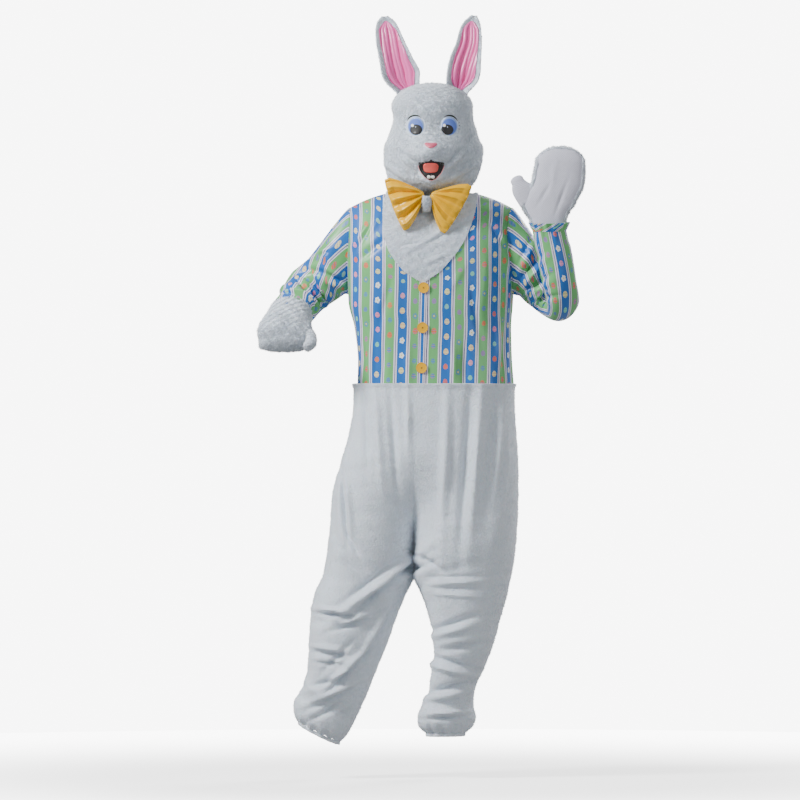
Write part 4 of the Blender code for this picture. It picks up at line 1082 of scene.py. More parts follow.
def make_sleeve(word, arm, creases, front_creases, tree):
    stations = np.concatenate([np.linspace(0.0, 0.12, 16), np.linspace(0.12, 1.0, 130)[1:]])[:, None]
    angles = np.linspace(0.0, 360.0, 128, endpoint=False)[None, :]
    points = arm(angles, stations)
    relief = folds_at(creases, angles, stations * 100.0) * ease(stations / 0.14)
    gathers = np.cos(np.radians(angles) * RUFFLE_WAVES) * 1.6 * ease((stations - 0.93) / 0.07)
    normals = grid_normals(points, True)
    facing = ease(-normals[..., 1] / 0.5) * ease(stations / 0.14)
    relief = relief * 1.5 + folds_at(front_creases, points[..., 0], points[..., 2]) * facing
    points = points + scaled(normals, relief + gathers)
    for row in range(1, len(stations)):
        for point in points[row]:
            if abs(point[0]) > 290.0:
                continue
            start = Vector((arm.side * 600.0, point[1], point[2])) * MILLIMETRE
            hit = tree.ray_cast(start, Vector((-arm.side, 0, 0)), 1.0)[0]
            if hit is not None and hit.x * arm.side > 0:
                nearest = hit.x / MILLIMETRE * arm.side + SLEEVE_CLEAR + sizes().satin_wall / MILLIMETRE
                point[0] += arm.side * max(nearest - point[0] * arm.side, 0.0)
    ring = np.concatenate([points, points[:, :1]], axis=1)
    rounds = np.linalg.norm(np.diff(ring, axis=1), axis=-1).sum(axis=1)
    rounds = np.maximum(rounds, 330.0)
    u = (np.linspace(0.0, 1.0, 129)[None, :] - 0.5) * rounds[:, None]
    cloth = lay_cloth(points, sizes().satin_wall, closed=True, u=u, level=True)
    piece = build_cloth("sleeve_cloth_" + word, cloth, print_cloth())
    place_piece(piece, "print_satin", "sleeve_" + word)


def make_ruffle(word, arm, flare, wave_height):
    """The gathered edge beyond the wrist elastic, in small waves."""
    one = np.array(1.0)
    end = arm.centre(one)
    along, up, front = arm.frame(one)
    tall = arm.rows.at(one).tall
    angles = np.linspace(0.0, 360.0, 384, endpoint=False)[None, :]
    share = np.linspace(0.0, 1.0, 16)[:, None]
    turn = np.radians(angles)
    wave = wave_height * np.cos(RUFFLE_WAVES * turn + 0.8 * np.sin(3 * turn)) * (0.25 + 0.85 * share)
    radius = tall + 0.8 + flare * share + wave
    points = end + (SEAM_GAP + RUFFLE_LENGTH * share)[..., None] * along
    points = points + scaled(front + np.zeros(radius.shape + (3,)), radius * np.sin(turn))
    points = points - scaled(up + np.zeros(radius.shape + (3,)), radius * np.cos(turn))
    cloth = lay_cloth(points, sizes().satin_wall, closed=True)
    piece = build_cloth("ruffle_cloth_" + word, cloth, print_cloth())
    place_piece(piece, "print_satin", "cuff_ruffle_" + word)


def make_sleeves():
    """Both sleeves with their elastic cuffs and ruffles."""
    tree = body_tree()
    make_sleeve("right", LOW_ARM, LOW_ARM_CREASES, LOW_ARM_FRONT, tree)
    make_sleeve("left", HIGH_ARM, HIGH_ARM_CREASES, HIGH_ARM_FRONT, tree)
    make_ruffle("right", LOW_ARM, -3.0, 1.2)
    make_ruffle("left", HIGH_ARM, 8.7, 2.6)


# Trousers

CROTCH, HIP = 1000.0, 660.0
HipSection = namedtuple("HipSection", "drop left_side right_side seam front back")
HIP_SECTIONS = [
    HipSection(492.6, 221, -203, 12, 127, 123),
    HipSection(541, 221, -203, 4, 130, 128),
    HipSection(627, 225, -214, -8, 136, 136),
    HipSection(713, 230, -240, -18, 144, 146),
    HipSection(800, 230, -260, -28, 149, 151),
    HipSection(885, 227, -266, -38, 146, 147),
    HipSection(950, 222, -274, -43, 138, 136),
    HipSection(985, 217, -281, -45, 130, 128),
    HipSection(CROTCH, 214, -284, -45, 128, 126),
]
LEG_ROWS = {
    # drop, outer, inner, middle, front, back, tilt
    "left": [
        (1056, 202, -22, -3, 118, 118, 0),
        (1110, 187, -3, -5, 112, 112, 0),
        (1185, 166, 10, -6, 102, 102, 0),
        (1260, 138, 5, -4, 88, 90, 0),
        (1313, 116, -4, 0, 78, 80, 0),
        (1356, 113, -23, 0, 76, 78, 0),
        (1385, 119, -34, 0, 76, 78, 0),
        (1408, 112, -32, 0, 68, 72, 0),
        (1426, 92, -14, 0, 52, 56, 0),
    ],
    "right": [
        (1056, -308, -70, -5, 122, 118, 0),
        (1110, -319, -92, -12, 116, 112, 0),
        (1185, -323, -121, -18, 106, 102, -0.05),
        (1260, -326, -154, -22, 90, 90, -0.15),
        (1313, -336, -178, -22, 80, 80, -0.28),
        (1350, -352, -198, -20, 76, 76, -0.38),
        (1377, -364, -214, -20, 74, 74, -0.45),
        (1400, -366, -228, -20, 68, 68, -0.5),
        (1420, -356, -244, -20, 52, 54, -0.52),
    ],
}
TROUSER_FOLDS = {
    "left": [
        Fold(100, 640, 90, 130, 9, 6),
        Fold(70, 700, 92, 150, 8, -5),
        Fold(45, 800, 88, 180, 9, 5),
        Fold(120, 1010, 40, 60, 12, -6),
        Fold(90, 1180, 15, 40, 12, 5),
        Fold(60, 1290, -20, 40, 12, 5),
        Fold(90, 1345, 0, 60, 14, -6),
        Fold(250, 1000, 20, 60, 14, -6),
        Fold(270, 1180, -15, 50, 14, 6),
        Fold(290, 1330, 0, 60, 14, -5),
        Fold(250, 700, 90, 150, 9, 5),
    ],
    "right": [
        Fold(90, 1000, 70, 90, 9, -9),
        Fold(120, 1040, 60, 80, 9, 6),
        Fold(60, 760, 90, 160, 10, 5),
        Fold(70, 1130, 10, 50, 14, -7),
        Fold(120, 1190, 60, 80, 9, -6),
        Fold(90, 1235, -10, 60, 14, 6),
        Fold(60, 1320, 15, 50, 13, 6),
        Fold(100, 1355, 0, 60, 12, -6),
        Fold(250, 1020, 15, 60, 14, -7),
        Fold(270, 1170, -15, 50, 14, 6),
        Fold(270, 1330, 10, 60, 14, -5),
    ],
}
TROUSER_CREASES = [
    # creases of the fronts by place across and height: from the waist, then at the knees and ankles
    Fold(-144, -1031, 37.7, 112, 11, 13),
    Fold(-135, -1045, 37.7, 104, 9, -13),
    Fold(-155, -1013, 37.7, 90, 9, -6),
    Fold(-228, -1250, 43.7, 62, 8, 11),
    Fold(-220, -1262, 43.7, 60, 7, -11),
    Fold(-148, -1147, 59.7, 70, 9, 9),
    Fold(-137, -1154, 59.7, 66, 8, -9),
    Fold(-252, -1222, 46, 50, 8, -7),
    Fold(-258, -1109, -4.6, 42, 7, -10),
    Fold(-256, -1097, -4.6, 42, 8, 8),
    Fold(-214, -1134, 16.5, 40, 7, -9),
    Fold(-216, -1122, 16.5, 40, 8, 7),
    Fold(-270, -1211, -7, 38, 7, -8),
    Fold(-270, -1199, -7, 38, 8, 7),
    Fold(-272, -1240, -6.5, 38, 7, -8),
    Fold(-280, -1290, 10, 46, 7, -7),
    Fold(-262, -1330, 24, 60, 8, -9),
    Fold(-258, -1316, 24, 60, 9, 8),
    Fold(-270, -1362, 28, 60, 8, -8),
    Fold(-233, -820, 94.7, 82, 7, -9),
    Fold(-220, -820, 94.7, 82, 9, 6),
    Fold(-212, -918, 119, 34, 7, -8),
    Fold(-60, -620, 92, 110, 9, 6),
    Fold(-100, -650, 94, 120, 10, -7),
    Fold(-140, -640, 94, 110, 10, 6),
    Fold(-178, -600, 94, 90, 8, -6),
    Fold(36, -710, 88, 180, 12, 8),
    Fold(90, -720, 86, 190, 12, -9),
    Fold(118, -700, 86, 170, 10, 8),
    Fold(160, -650, 84, 140, 9, -6),
    Fold(182, -660, 84, 130, 9, 5),
    Fold(62, -1006, 2, 56, 5, -4),
    Fold(74, -1022, 4, 56, 5, 4),
    Fold(66, -1038, -2, 56, 5, -4),
    Fold(60, -1056, -4, 50, 5, 4),
    Fold(60, -1130, 20, 60, 9, -8),
    Fold(60, -1150, 18, 60, 10, 7),
    Fold(78, -1196, 8, 60, 9, -7),
    Fold(50, -1235, -15, 60, 8, -9),
    Fold(50, -1256, -15, 60, 9, 8),
    Fold(45, -1305, 12, 60, 8, -9),
    Fold(45, -1324, 12, 60, 9, 7),
    Fold(40, -1385, 3.5, 44, 6, -9),
    Fold(40, -1372, 3.5, 44, 7, 7),
    Fold(-46, -985, 20, 46, 8, -9),
    Fold(-10, -968, -30, 46, 8, -8),
]
FOLD_DEPTH = 1.6
ANKLE_WAVES = 14
ANKLE_STEP = 11.0


class Leg:
    """Half of the trousers: half a hip at the top, drawn into a round leg below the crotch.

    Angle 0 is the side seam, 90 the front, -90 the back and 180 or -180 the centre seam or inseam.
    """

    def __init__(self, word):
        hips = [
            (hip.drop, hip.left_side if word == "left" else hip.right_side, hip.seam, 0, hip.front, hip.back, 0)
            for hip in HIP_SECTIONS
        ]
        self.rows = Table("drop outer inner middle front back tilt", hips + LEG_ROWS[word])
        self.folds = TROUSER_FOLDS[word]

    def __call__(self, angle, station):
        angle, station = np.broadcast_arrays(np.asarray(angle, float), np.asarray(station, float))
        row = self.rows.at(station)
        depth = np.where(angle >= 0, row.front, row.back)
        half_turn, turn = np.radians(angle / 2.0), np.radians(angle)
        width = row.outer - row.inner
        hip_x = row.inner + width * signed_power(np.cos(half_turn), 2.0 / 2.6)
        hip_y = -depth * signed_power(np.sin(half_turn), 2.0 / 2.6)
        leg_x = (row.outer + row.inner) / 2.0 + width / 2.0 * signed_power(np.cos(turn), 0.92)
        leg_y = -depth * signed_power(np.sin(turn), 0.92)
        legged = ease((station - HIP) / (CROTCH - HIP))
        point = stacked(hip_x + (leg_x - hip_x) * legged, hip_y + (leg_y - hip_y) * legged, 0.0)
        middle = stacked(row.inner + width * (0.25 + 0.25 * legged), 0.0, 0.0)
        away = np.clip(np.abs(np.abs(angle) - 180.0) / 40.0, 0.0, 1.0)
        point = point + scaled(unit(point - middle), folds_at(self.folds, angle % 360.0, station) * away)
        point[..., 2] = -station + row.tilt * (point[..., 0] - (row.outer + row.inner) / 2.0)
        point[..., 1] += row.middle
        point[..., 0] += TURN * (point[..., 1] - row.middle)
        return point


def make_trousers():
    """Fronts and backs of the plush trousers with their gathered ankle casings."""
    for word in ("left", "right"):
        leg = Leg(word)
        hem = leg.rows.keys[-1]
        stations = np.linspace(leg.rows.keys[0], hem, 230)[:, None]
        for side, sign, columns, spikes in (("front", 1.0, 90, 34000), ("back", -1.0, 70, 16000)):
            angles = sign * np.linspace(0.0, 180.0, columns)[None, :]
            points = leg(angles, stations)
            edge = np.clip(np.abs(angles) / 10.0, 0.0, 1.0) * np.clip((180.0 - np.abs(angles)) / 10.0, 0.0, 1.0)
            relief = np.zeros(points.shape[:2])
            if sign > 0:
                relief = relief + FOLD_DEPTH * folds_at(TROUSER_CREASES, points[..., 0], points[..., 2])
            ripples = noise_at(points * np.array([0.35, 0.35, 1.0]), 26.0, 7) * 1.6
            gathers = np.cos(np.radians(angles) * ANKLE_WAVES) * 2.0 * ease((stations - hem + 40.0) / 40.0)
            roll = 4.0 * np.exp(-((stations - stations[0]) / 9.0) ** 2)
            cloth = lay_cloth(points, sizes().plush_wall, relief=(relief + ripples) * edge + gathers + roll)
            name = "trouser_%s_panel_%s" % (side, word)
            piece = build_cloth(name, cloth, body_plush())
            place_piece(piece, "plush", "trouser_%s_%s" % (side, word))
            pile = grow_pile("trouser_%s_pile_%s" % (side, word), cloth, spikes, sizes().body_pile, pile_white(), 21)
        make_casing(word, leg, hem)


def make_casing(word, leg, hem):
    """The elastic casing at the ankle, drawn into even gathers."""
    around = np.linspace(0.0, 360.0, 336, endpoint=False)
    signed = np.where(around > 180.0, around - 360.0, around)[None, :]
    base = leg(signed, np.full(signed.shape, hem))
    centre = base.mean(axis=1, keepdims=True)
    out = unit(base - centre)
    share = np.linspace(0.0, 1.0, 14)[:, None]
    wave = 1.8 * np.cos(ANKLE_WAVES * np.radians(signed)) - 3.0 + 2.0 * np.sin(np.pi * share)
    points = base + scaled(out + np.zeros(wave.shape + (3,)), wave)
    points[..., 2] -= SEAM_GAP + ANKLE_STEP * share
    cloth = lay_cloth(points, 0.0035, closed=True)
    piece = build_cloth("ankle_cloth_" + word, cloth, body_plush())
    place_piece(piece, "plush", "ankle_casing_" + word)


# Mask

FACE_TURN = 0.05
MASK_ROWS = [
    # station, x, y, z, wide, front, back
    (0.00, 0, 0, -10, 72, 42, 38),
    (0.03, 0, 1, 5, 72, 50, 40),
    (0.05, 0, 4, 16, 74, 72, 40),
    (0.08, 2, 8, 30, 90, 108, 70),
    (0.11, 4, 8, 42, 104, 118, 94),
    (0.16, 4, 6, 59, 116, 124, 104),
    (0.26, 5, 5, 82, 124, 124, 112),
    (0.38, 6, 4, 108, 129, 122, 118),
    (0.50, 7, 3, 136, 130, 118, 121),
    (0.62, 6, 2, 162, 120, 114, 122),
    (0.72, 7, 1, 188, 112, 110, 122),
    (0.84, 6, 0, 218, 104, 106, 120),
    (1.00, 3, 0, 248, 106, 100, 114),
]
Bulge = namedtuple("Bulge", "x z wide tall out")
FACE_BULGES = [
    # muzzle, cheeks, lower jaw, brow and the two eye hollows
    Bulge(-1, 128, 44, 34, 30),
    Bulge(-42, 112, 40, 32, 12),
    Bulge(42, 112, 40, 32, 12),
    Bulge(0, 52, 44, 26, 14),
    Bulge(0, 236, 60, 30, 6),
    Bulge(-44, 192, 30, 28, -5),
    Bulge(48, 192, 30, 28, -5),
]
FACE_CREASES = [
    # smile lines from the corners of the mouth, jaw folds and soft dents of the hollow plush
    Fold(58, 112, 48, 34, 3.8, -6),
    Fold(66, 104, 46, 34, 6, 5),
    Fold(-54, 108, -44, 28, 3.8, -6),
    Fold(-61, 99, -42, 28, 6, 5),
    Fold(86, 62, 32, 44, 5, -7),
    Fold(84, 75, 32, 44, 7, 6),
    Fold(-88, 58, -38, 40, 5, -7),
    Fold(-88, 71, -38, 40, 7, 6),
    Fold(52, 40, 12, 30, 5, -5),
    Fold(66, 50, 10, 30, 6, 4),
    Fold(-50, 38, -12, 30, 5, -5),
    Fold(96, 150, 80, 50, 7, -4),
    Fold(-100, 200, 95, 50, 7, -3),
    Fold(92, 210, 98, 50, 7, -4),
]


def mask_finish(point, angle, station):
    angle = angle % 360.0
    front = (angle > 0.0) & (angle < 180.0)
    fade = np.where(front, np.abs(np.sin(np.radians(angle))) ** 0.8, 0.0)
    for bulge in FACE_BULGES:
        away = ((point[..., 0] - bulge.x) / bulge.wide) ** 2 + ((point[..., 2] - bulge.z) / bulge.tall) ** 2
        point[..., 1] -= bulge.out * np.exp(-away) * fade
    point[..., 0] += FACE_TURN * point[..., 1]
    return point


MASK = Bag(
    MASK_ROWS,
    over=(1, 0, 0),
    along=(0, 0, 1),
    squareness=2.2,
    ridge=lambda across: 6.0 + 57.0 * np.maximum(1.0 - np.abs(across) ** 2.2, 0.0) ** 0.62,
    finish=mask_finish,
)


def make_mask():
    """The full-head mask in curly plush: face and back with their pile."""
    stations = np.concatenate([np.linspace(0.0, 0.16, 40), np.linspace(0.16, 1.0, 96)[1:],
                               1.0 + np.linspace(0.0, 1.0, 50)[1:]])[:, None]
    for side, start, end, columns, spikes in (("face", 0.0, 180.0, 150, 46000), ("back", 360.0, 180.0, 110, 26000)):
        angles = np.linspace(start, end, columns)[None, :]
        points = MASK(angles, stations)
        edge = ease(np.abs(np.sin(np.radians(angles))) / 0.15) * np.ones(stations.shape)
        relief = (noise_at(points, 10.0, 1) * 1.3 + noise_at(points, 26.0, 2) * 1.6) * edge
        if side == "face":
            relief = relief + folds_at(FACE_CREASES, points[..., 0], points[..., 2]) * edge
            relief = relief * (1.0 - 0.85 * flat_places(points))
        cloth = lay_cloth(points, sizes().plush_wall, relief=relief)
        piece = build_cloth("mask_%s_panel" % side, cloth, mask_plush(), sharp=80.0)
        place_piece(piece, "plush", "mask_" + side)
        keep = None
        if side == "face":
            keep = 1.0 - (flat_places(points) > 0.5)
        pile = grow_pile("mask_%s_pile" % side, cloth, spikes, sizes().mask_pile, pile_white(), 31, keep=keep, width=1.7)


def flat_places(points):
    """One where the eyes, nose and mouth lie on the face and nought elsewhere."""
    flat = np.zeros(points.shape[:2])
    for x, z, wide, tall in ((EYE_X["right"], EYE_Z, 26, 28), (EYE_X["left"], EYE_Z, 26, 28),
                             (-1, 142, 19, 10), (0, 74, 35, 26)):
        away = ((points[..., 0] - x) / wide) ** 2 + ((points[..., 2] - z) / tall) ** 2
        flat = np.maximum(flat, ease((1.3 - away) / 0.4))
    return flat


# Ears

EAR_COLUMNS = "height left right depth curl"
EARS = {
    "right": Table(EAR_COLUMNS, [
        (262, -86, -34, 6, 24),
        (284, -88, -34, 5, 24),
        (318, -120, -34, 0, 25),
        (338, -130, -32, -2, 22),
        (380, -137, -51, 2, 16),
        (423, -145, -71, 10, 12),
        (455, -147, -85, 18, 9),
        (478, -143, -97, 24, 6),
        (494, -129, -119, 28, 2),
    ]),
    "left": Table(EAR_COLUMNS, [
        (262, 46, 92, 6, 24),
        (284, 45, 94, 5, 24),
        (318, 44, 122, 0, 25),
        (338, 45, 129, -2, 22),
        (380, 53, 132, 2, 16),
        (423, 70, 134, 10, 12),
        (455, 78, 133, 18, 9),
        (478, 90, 129, 24, 6),
        (496, 112, 121, 28, 2),
    ]),
}
EAR_WALL = 7.0
SATIN_FOOT = {"right": 277.0, "left": 290.0}
SATIN_TOP = 480.0


def ear_points(rows, share, height):
    row = rows.at(height)
    middle, half = (row.left + row.right) / 2.0, (row.right - row.left) / 2.0
    return stacked(middle + half * share, row.depth - row.curl * share * share, height)


def make_ears():
    """Both ears: a plush back that rolls round the edge, and a creased pink satin front."""
    for number, (word, rows) in enumerate(EARS.items()):
        share = np.sin(np.linspace(-np.pi / 2, np.pi / 2, 70))[None, :]
        rise = np.sin(np.linspace(0.0, np.pi / 2, 120))[:, None]
        height = 262.0 + (rows.keys[-1] - 262.0) * rise
        points = ear_points(rows, share, height)
        cloth = lay_cloth(points, EAR_WALL * MILLIMETRE, facing=(0, -1, 0))
        round_edge = np.sqrt(np.clip(1.0 - np.abs(share) ** 6, 0.0, 1.0)) * np.ones(height.shape)
        middle = (cloth.outer + cloth.inner) / 2.0
        cloth = cloth._replace(
            outer=middle + scaled(cloth.outer - middle, 0.25 + 0.75 * round_edge),
            inner=middle + scaled(cloth.inner - middle, 0.25 + 0.75 * round_edge),
        )
        piece = build_cloth("ear_plush_" + word, cloth, mask_plush(), sharp=85.0)
        place_piece(piece, "plush", "ear_fur_" + word)
        rim = (np.abs(share) > 0.72) * np.ones(height.shape)
        rim = np.maximum(rim, (height < SATIN_FOOT[word] + 4.0) * np.ones(share.shape))
        rim = np.maximum(rim, (height > 474.0) * np.ones(share.shape))
        pile = grow_pile("ear_rim_pile_" + word, cloth, 9000, sizes().body_pile, pile_white(), 41 + number, keep=rim)
        back = cloth._replace(outer=cloth.inner, inner=cloth.outer, normals=-cloth.normals)
        back_pile = grow_pile("ear_back_pile_" + word, back, 9000, sizes().body_pile, pile_white(), 51 + number)
        height = np.linspace(SATIN_FOOT[word], SATIN_TOP, 130)[:, None]
        part = (height - SATIN_FOOT[word]) / (SATIN_TOP - SATIN_FOOT[word])
        across = np.linspace(-1.0, 1.0, 70)[None, :]
        inset = 0.80 * across * (0.25 + 0.75 * np.sin(np.pi / 2 * np.clip(part / 0.2, 0.0, 1.0)))
        inset = inset * np.sqrt(np.clip((1.0 - part) / 0.12, 0.04, 1.0))
        points = ear_points(rows, inset, height)
        sway = across * 2.6 * (1.0 - 0.35 * part) + 0.5 * np.sin(part * 5.0 + number)
        creases = 3.0 * np.sin(sway * 4.2 + number) * (1.0 - 0.4 * part) + 1.5 * np.sin(sway * 9.0 + part * 3.0)
        fade = ease((1.0 - np.abs(across)) / 0.18) * ease(part / 0.06) * ease((1.0 - part) / 0.1)
        cloth = lay_cloth(points, 0.0012, facing=(0, -1, 0), relief=creases * fade, lift=3.6)
        satin = shared_material("pink ear satin", satin_material, list(colours().ear), 0.28)
        piece = build_cloth("ear_lining_" + word, cloth, satin)
        place_piece(piece, "ear_satin", "ear_satin_" + word)


# Face pieces

EYE_X = {"right": -43.0, "left": 49.0}
EYE_Z = 195.0
PUPIL_SHIFT = {"right": 3.0, "left": -6.0}
IRIS_SHIFT = {"right": 1.5, "left": -0.5}
GLINT_SHIFT = {"right": -7.0, "left": -14.0}


def face_surface():
    """A function that finds the face's own surface at each place across and height."""
    shape = bmesh.new()
    shape.from_mesh(bpy.data.objects["mask_face_panel"].data)
    tree = BVHTree.FromBMesh(shape)
    shape.free()

    def point_at(x, z):
        found = [tree.ray_cast(Vector((across, -400.0, up)) * MILLIMETRE, Vector((0, 1, 0)), 1.0)[0]
                 for across, up in zip(np.ravel(x), np.ravel(z))]
        return np.array([tuple(hit / MILLIMETRE) for hit in found]).reshape(np.shape(x) + (3,))
    return point_at


def face_piece(name, surface, outline, lift, bulge, wall, material, rings=14, steps=72):
    """A domed piece on the face inside an outline of (across, height) around its centre."""
    turns = np.linspace(0.0, 2 * np.pi, steps, endpoint=False)
    edge_x, edge_z = outline(turns)
    centre_x, centre_z = edge_x.mean(), edge_z.mean()
    share = np.linspace(0.04, 1.0, rings)[:, None]
    x, z = centre_x + (edge_x - centre_x)[None] * share, centre_z + (edge_z - centre_z)[None] * share
    seat = surface(x, z)
    dome = lift + wall + bulge * (1.0 - share**2)
    fronts = seat - stacked(0.0, dome * (1.0 - 0.55 * ease((share - 0.86) / 0.14)), 0.0)
    backs = seat + np.array([0.0, 1.0, 0.0])
    middle = fronts[0].mean(axis=0)
    vertices = [*fronts.reshape(-1, 3), *backs.reshape(-1, 3), middle, backs[0].mean(axis=0)]
    uv = [*np.stack([x - centre_x, z - centre_z], -1).reshape(-1, 2)] * 2 + [(0.0, 0.0), (0.0, 0.0)]
    layer = rings * steps
    faces = []
    for step in range(steps):
        beside = (step + 1) % steps
        faces.append([2 * layer, step, beside])
        faces.append([2 * layer + 1, layer + beside, layer + step])
        for ring in range(rings - 1):
            low, high = ring * steps, (ring + 1) * steps
            faces.append([low + step, high + step, high + beside, low + beside])
            faces.append([layer + low + beside, layer + high + beside, layer + high + step, layer + low + step])
        last = (rings - 1) * steps
        faces.append([last + step, layer + last + step, layer + last + beside, last + beside])
    mesh = bpy.data.meshes.new(name)
    mesh.from_pydata((np.array(vertices) * MILLIMETRE).tolist(), [], faces)
    flat = np.array(uv) * MILLIMETRE
    uv_layer = mesh.uv_layers.new(name="cloth")
    uv_layer.data.foreach_set("uv", np.concatenate([flat[list(face)].ravel() for face in faces]))
    shape = bmesh.new()
    shape.from_mesh(mesh)
    bmesh.ops.recalc_face_normals(shape, faces=shape.faces[:])
    shape.to_mesh(mesh)
    shape.free()
    mesh.shade_smooth()
    mesh.set_sharp_from_angle(angle=math.radians(60))
    return new_object(name, mesh, material)


def oval(x, z, wide, tall):
    return lambda turn: (x + wide * np.cos(turn), z + tall * np.sin(turn))


def nose_outline(turn):
    """A wide rounded triangle with its point down and a slight dip in its flat upper edge."""
    out, up = np.cos(turn), signed_power(np.sin(turn), 0.8)
    dip = 1.6 * np.exp(-(out / 0.3) ** 2) * (up > 0)
    return -1.0 + 21.5 * signed_power(out, 0.75) * (0.70 + 0.30 * up), 142.0 + 8.5 * up - dip


def grin_outline(turn):
    """An open smile: a peaked upper lip over a deep lower one that narrows downwards."""
    out, up = np.cos(turn), np.sin(turn)
    wide = np.where(up < 0, 35.0 * signed_power(out, 1.1) * (1.0 - 0.16 * up**2), 35.0 * out)
    tall = np.where(up < 0, 46.0 * up, 4.0 * up + 5.0 * np.exp(-(out / 0.12) ** 2) * (up > 0))
    return wide, 95.0 + tall


def rounded_block(x, z, wide, tall, narrowing=0.0):
    """A rounded block outline that narrows downwards by a share of its width."""
    def outline(turn):
        up = signed_power(np.sin(turn), 0.62)
        return x + wide * signed_power(np.cos(turn), 0.62) * (1.0 + narrowing * up), z + tall * up
    return outline


MOUTH_LIFT = 3.0


def make_face():
    """Eyes, brows, lashes, nose, mouth with its lower lip, tongue and teeth on the mask."""
    surface = face_surface()
    black = shared_material("black lining", plain_material, linear("0d0b0e"), 0.55)
    for word, x in EYE_X.items():
        spots = [
            Spot("86a4e2", IRIS_SHIFT[word] + 0.5, -0.8, 21.4, 24.0),
            Spot("5673c8", IRIS_SHIFT[word], -2.4, 19.0, 21.2),
            Spot("0b0b10", PUPIL_SHIFT[word], -10.5, 16.5, 14.2),
            Spot("ffffff", GLINT_SHIFT[word], 1.2, 3.8, 4.0),
            Spot("b9c6dd", GLINT_SHIFT[word] + 8.5, -3.0, 1.5, 1.5),
        ]
        eye = face_piece("eye_print_" + word, surface, oval(x, EYE_Z, 24.0, 26.0), 1.4, 5.0, 2.0,
                         eye_material("printed eye " + word, spots))
        place_piece(eye, "eye", "eye_" + word)
        lean = -1.0 if word == "right" else 1.0
        turns = np.radians(90.0 - lean * np.linspace(-38.0, 62.0, 30))
        path_x, path_z = x + 24.5 * np.cos(turns), EYE_Z + 28.0 * np.sin(turns)
        path = surface(path_x, path_z) - np.array([0.0, 3.4, 0.0])
        brow = tube("brow_line_" + word, path, 0.4 + 1.4 * np.sin(np.linspace(0.0, np.pi, 30)), black, 10)
        place_piece(brow, "brow", "brow_" + word)
        for number, degrees in enumerate((-16.0, 2.0, 18.0)):
            turn = math.radians(degrees if lean > 0 else 180.0 - degrees)
            ends = np.array([25.5, 28.5])
            path = surface(x + ends * math.cos(turn), EYE_Z + ends * 1.05 * math.sin(turn)) - np.array([0.0, 3.0, 0.0])
            lash = tube("lash_%s_%d" % (word, number + 1), path, [0.8, 0.5], black)
            place_piece(lash, "brow")
    rose = shared_material("pink nose cloth", satin_material, linear("dd6580"), 0.4)
    place_piece(face_piece("nose_cloth", surface, nose_outline, 1.6, 5.0, 2.0, rose), "ear_satin", "nose")
    mouth = face_piece("mouth_lining", surface, grin_outline, MOUTH_LIFT, 0.0, 1.6, black, rings=16, steps=96)
    place_piece(mouth, "mouth", "mouth")
    coral = shared_material("coral tongue satin", satin_material, linear("e05a52"), 0.35)
    tongue = face_piece("tongue_cloth", surface, rounded_block(-1, 81.5, 21.0, 13.5, 0.10), MOUTH_LIFT + 2.4, 3.0, 1.6,
                        coral)
    place_piece(tongue, "tongue", "tongue")
    ivory = shared_material("tooth cloth", plain_material, linear("f4f4f2"), 0.4, 0.3)
    for word, x in (("right", -6.0), ("left", 4.5)):
        tooth = face_piece("tooth_cloth_" + word, surface, rounded_block(x, 57.5, 5.1, 4.3), MOUTH_LIFT + 2.2, 0.8, 2.0,
                           ivory, rings=8, steps=40)
        place_piece(tooth, "tooth", "tooth_" + word)
    lip = shared_material("pink lip cord", plain_material, linear("e3a3ad"), 0.6)
    turns = np.radians(np.linspace(188.0, 352.0, 60))
    lip_x, lip_z = grin_outline(turns)
    path = surface(lip_x * 1.01, 95.0 + (lip_z - 95.0) * 1.01) - np.array([0.0, MOUTH_LIFT + 1.2, 0.0])
    place_piece(tube("lower_lip_cord", path, 0.9, lip), "tongue")


# Mittens

def rounded_end(length, shoulder):
    return lambda across: shoulder + (length - shoulder) * np.maximum(1.0 - np.abs(across) ** 2.2, 0.0) ** 0.55


HIGH_MITTEN = Bag([
    # the raised mitten, palm to the front
    (0.00, 314, -135, -76, 44.6, 28, 28),
    (0.14, 311, -138, -57, 46, 27, 28),
    (0.30, 308, -141, -34, 57, 25, 28),
    (0.44, 312, -144, -8, 71, 23, 28),
    (0.56, 322, -146, 14, 72, 23, 28),
    (0.70, 337, -148, 44, 68, 23, 28),
    (1.00, 343, -152, 92, 64, 22, 27),
], over=(1, 0, 0), along=(0, -0.06, 1), ridge=rounded_end(45.0, 3.0))
HIGH_THUMB = Bag([
    (0.0, 262, -145, 0, 34, 14, 14),
    (0.5, 240, -149, 26, 27, 13, 14),
    (1.0, 231, -150, 43, 18, 11, 12),
], over=(0.63, 0, 0.78), ridge=rounded_end(18.0, 7.0))
LOW_MITTEN = Bag([
    # the lowered mitten, bent over as round a handle, palm down and back
    (0.00, -375, -46, -307, 53, 48, 48),
    (0.20, -380, -76, -319, 56, 42, 42),
    (0.45, -386, -106, -334, 62, 32, 34),
    (0.70, -389, -127, -353, 70, 23, 30),
    (1.00, -389, -136, -378, 66, 23, 28),
], over=(1, 0, 0.04), ridge=rounded_end(28.0, 15.0))
LOW_THUMB = Bag([
    (0.00, -334, -130, -352, 15, 12, 12),
    (0.35, -320, -152, -370, 14, 12, 12),
    (0.70, -318, -170, -383, 13, 11, 11),
    (1.00, -326, -182, -392, 12, 10, 10),
], over=(0, -0.5, 0.8), ridge=rounded_end(12.0, 6.0))
MITTEN_ROLL = 25.0
MITTEN_CREASES = [
    Fold(300, 10, 60, 30, 5, -3),
    Fold(345, 0, 70, 40, 5, -3),
    Fold(325, 60, 80, 40, 8, 2),
]


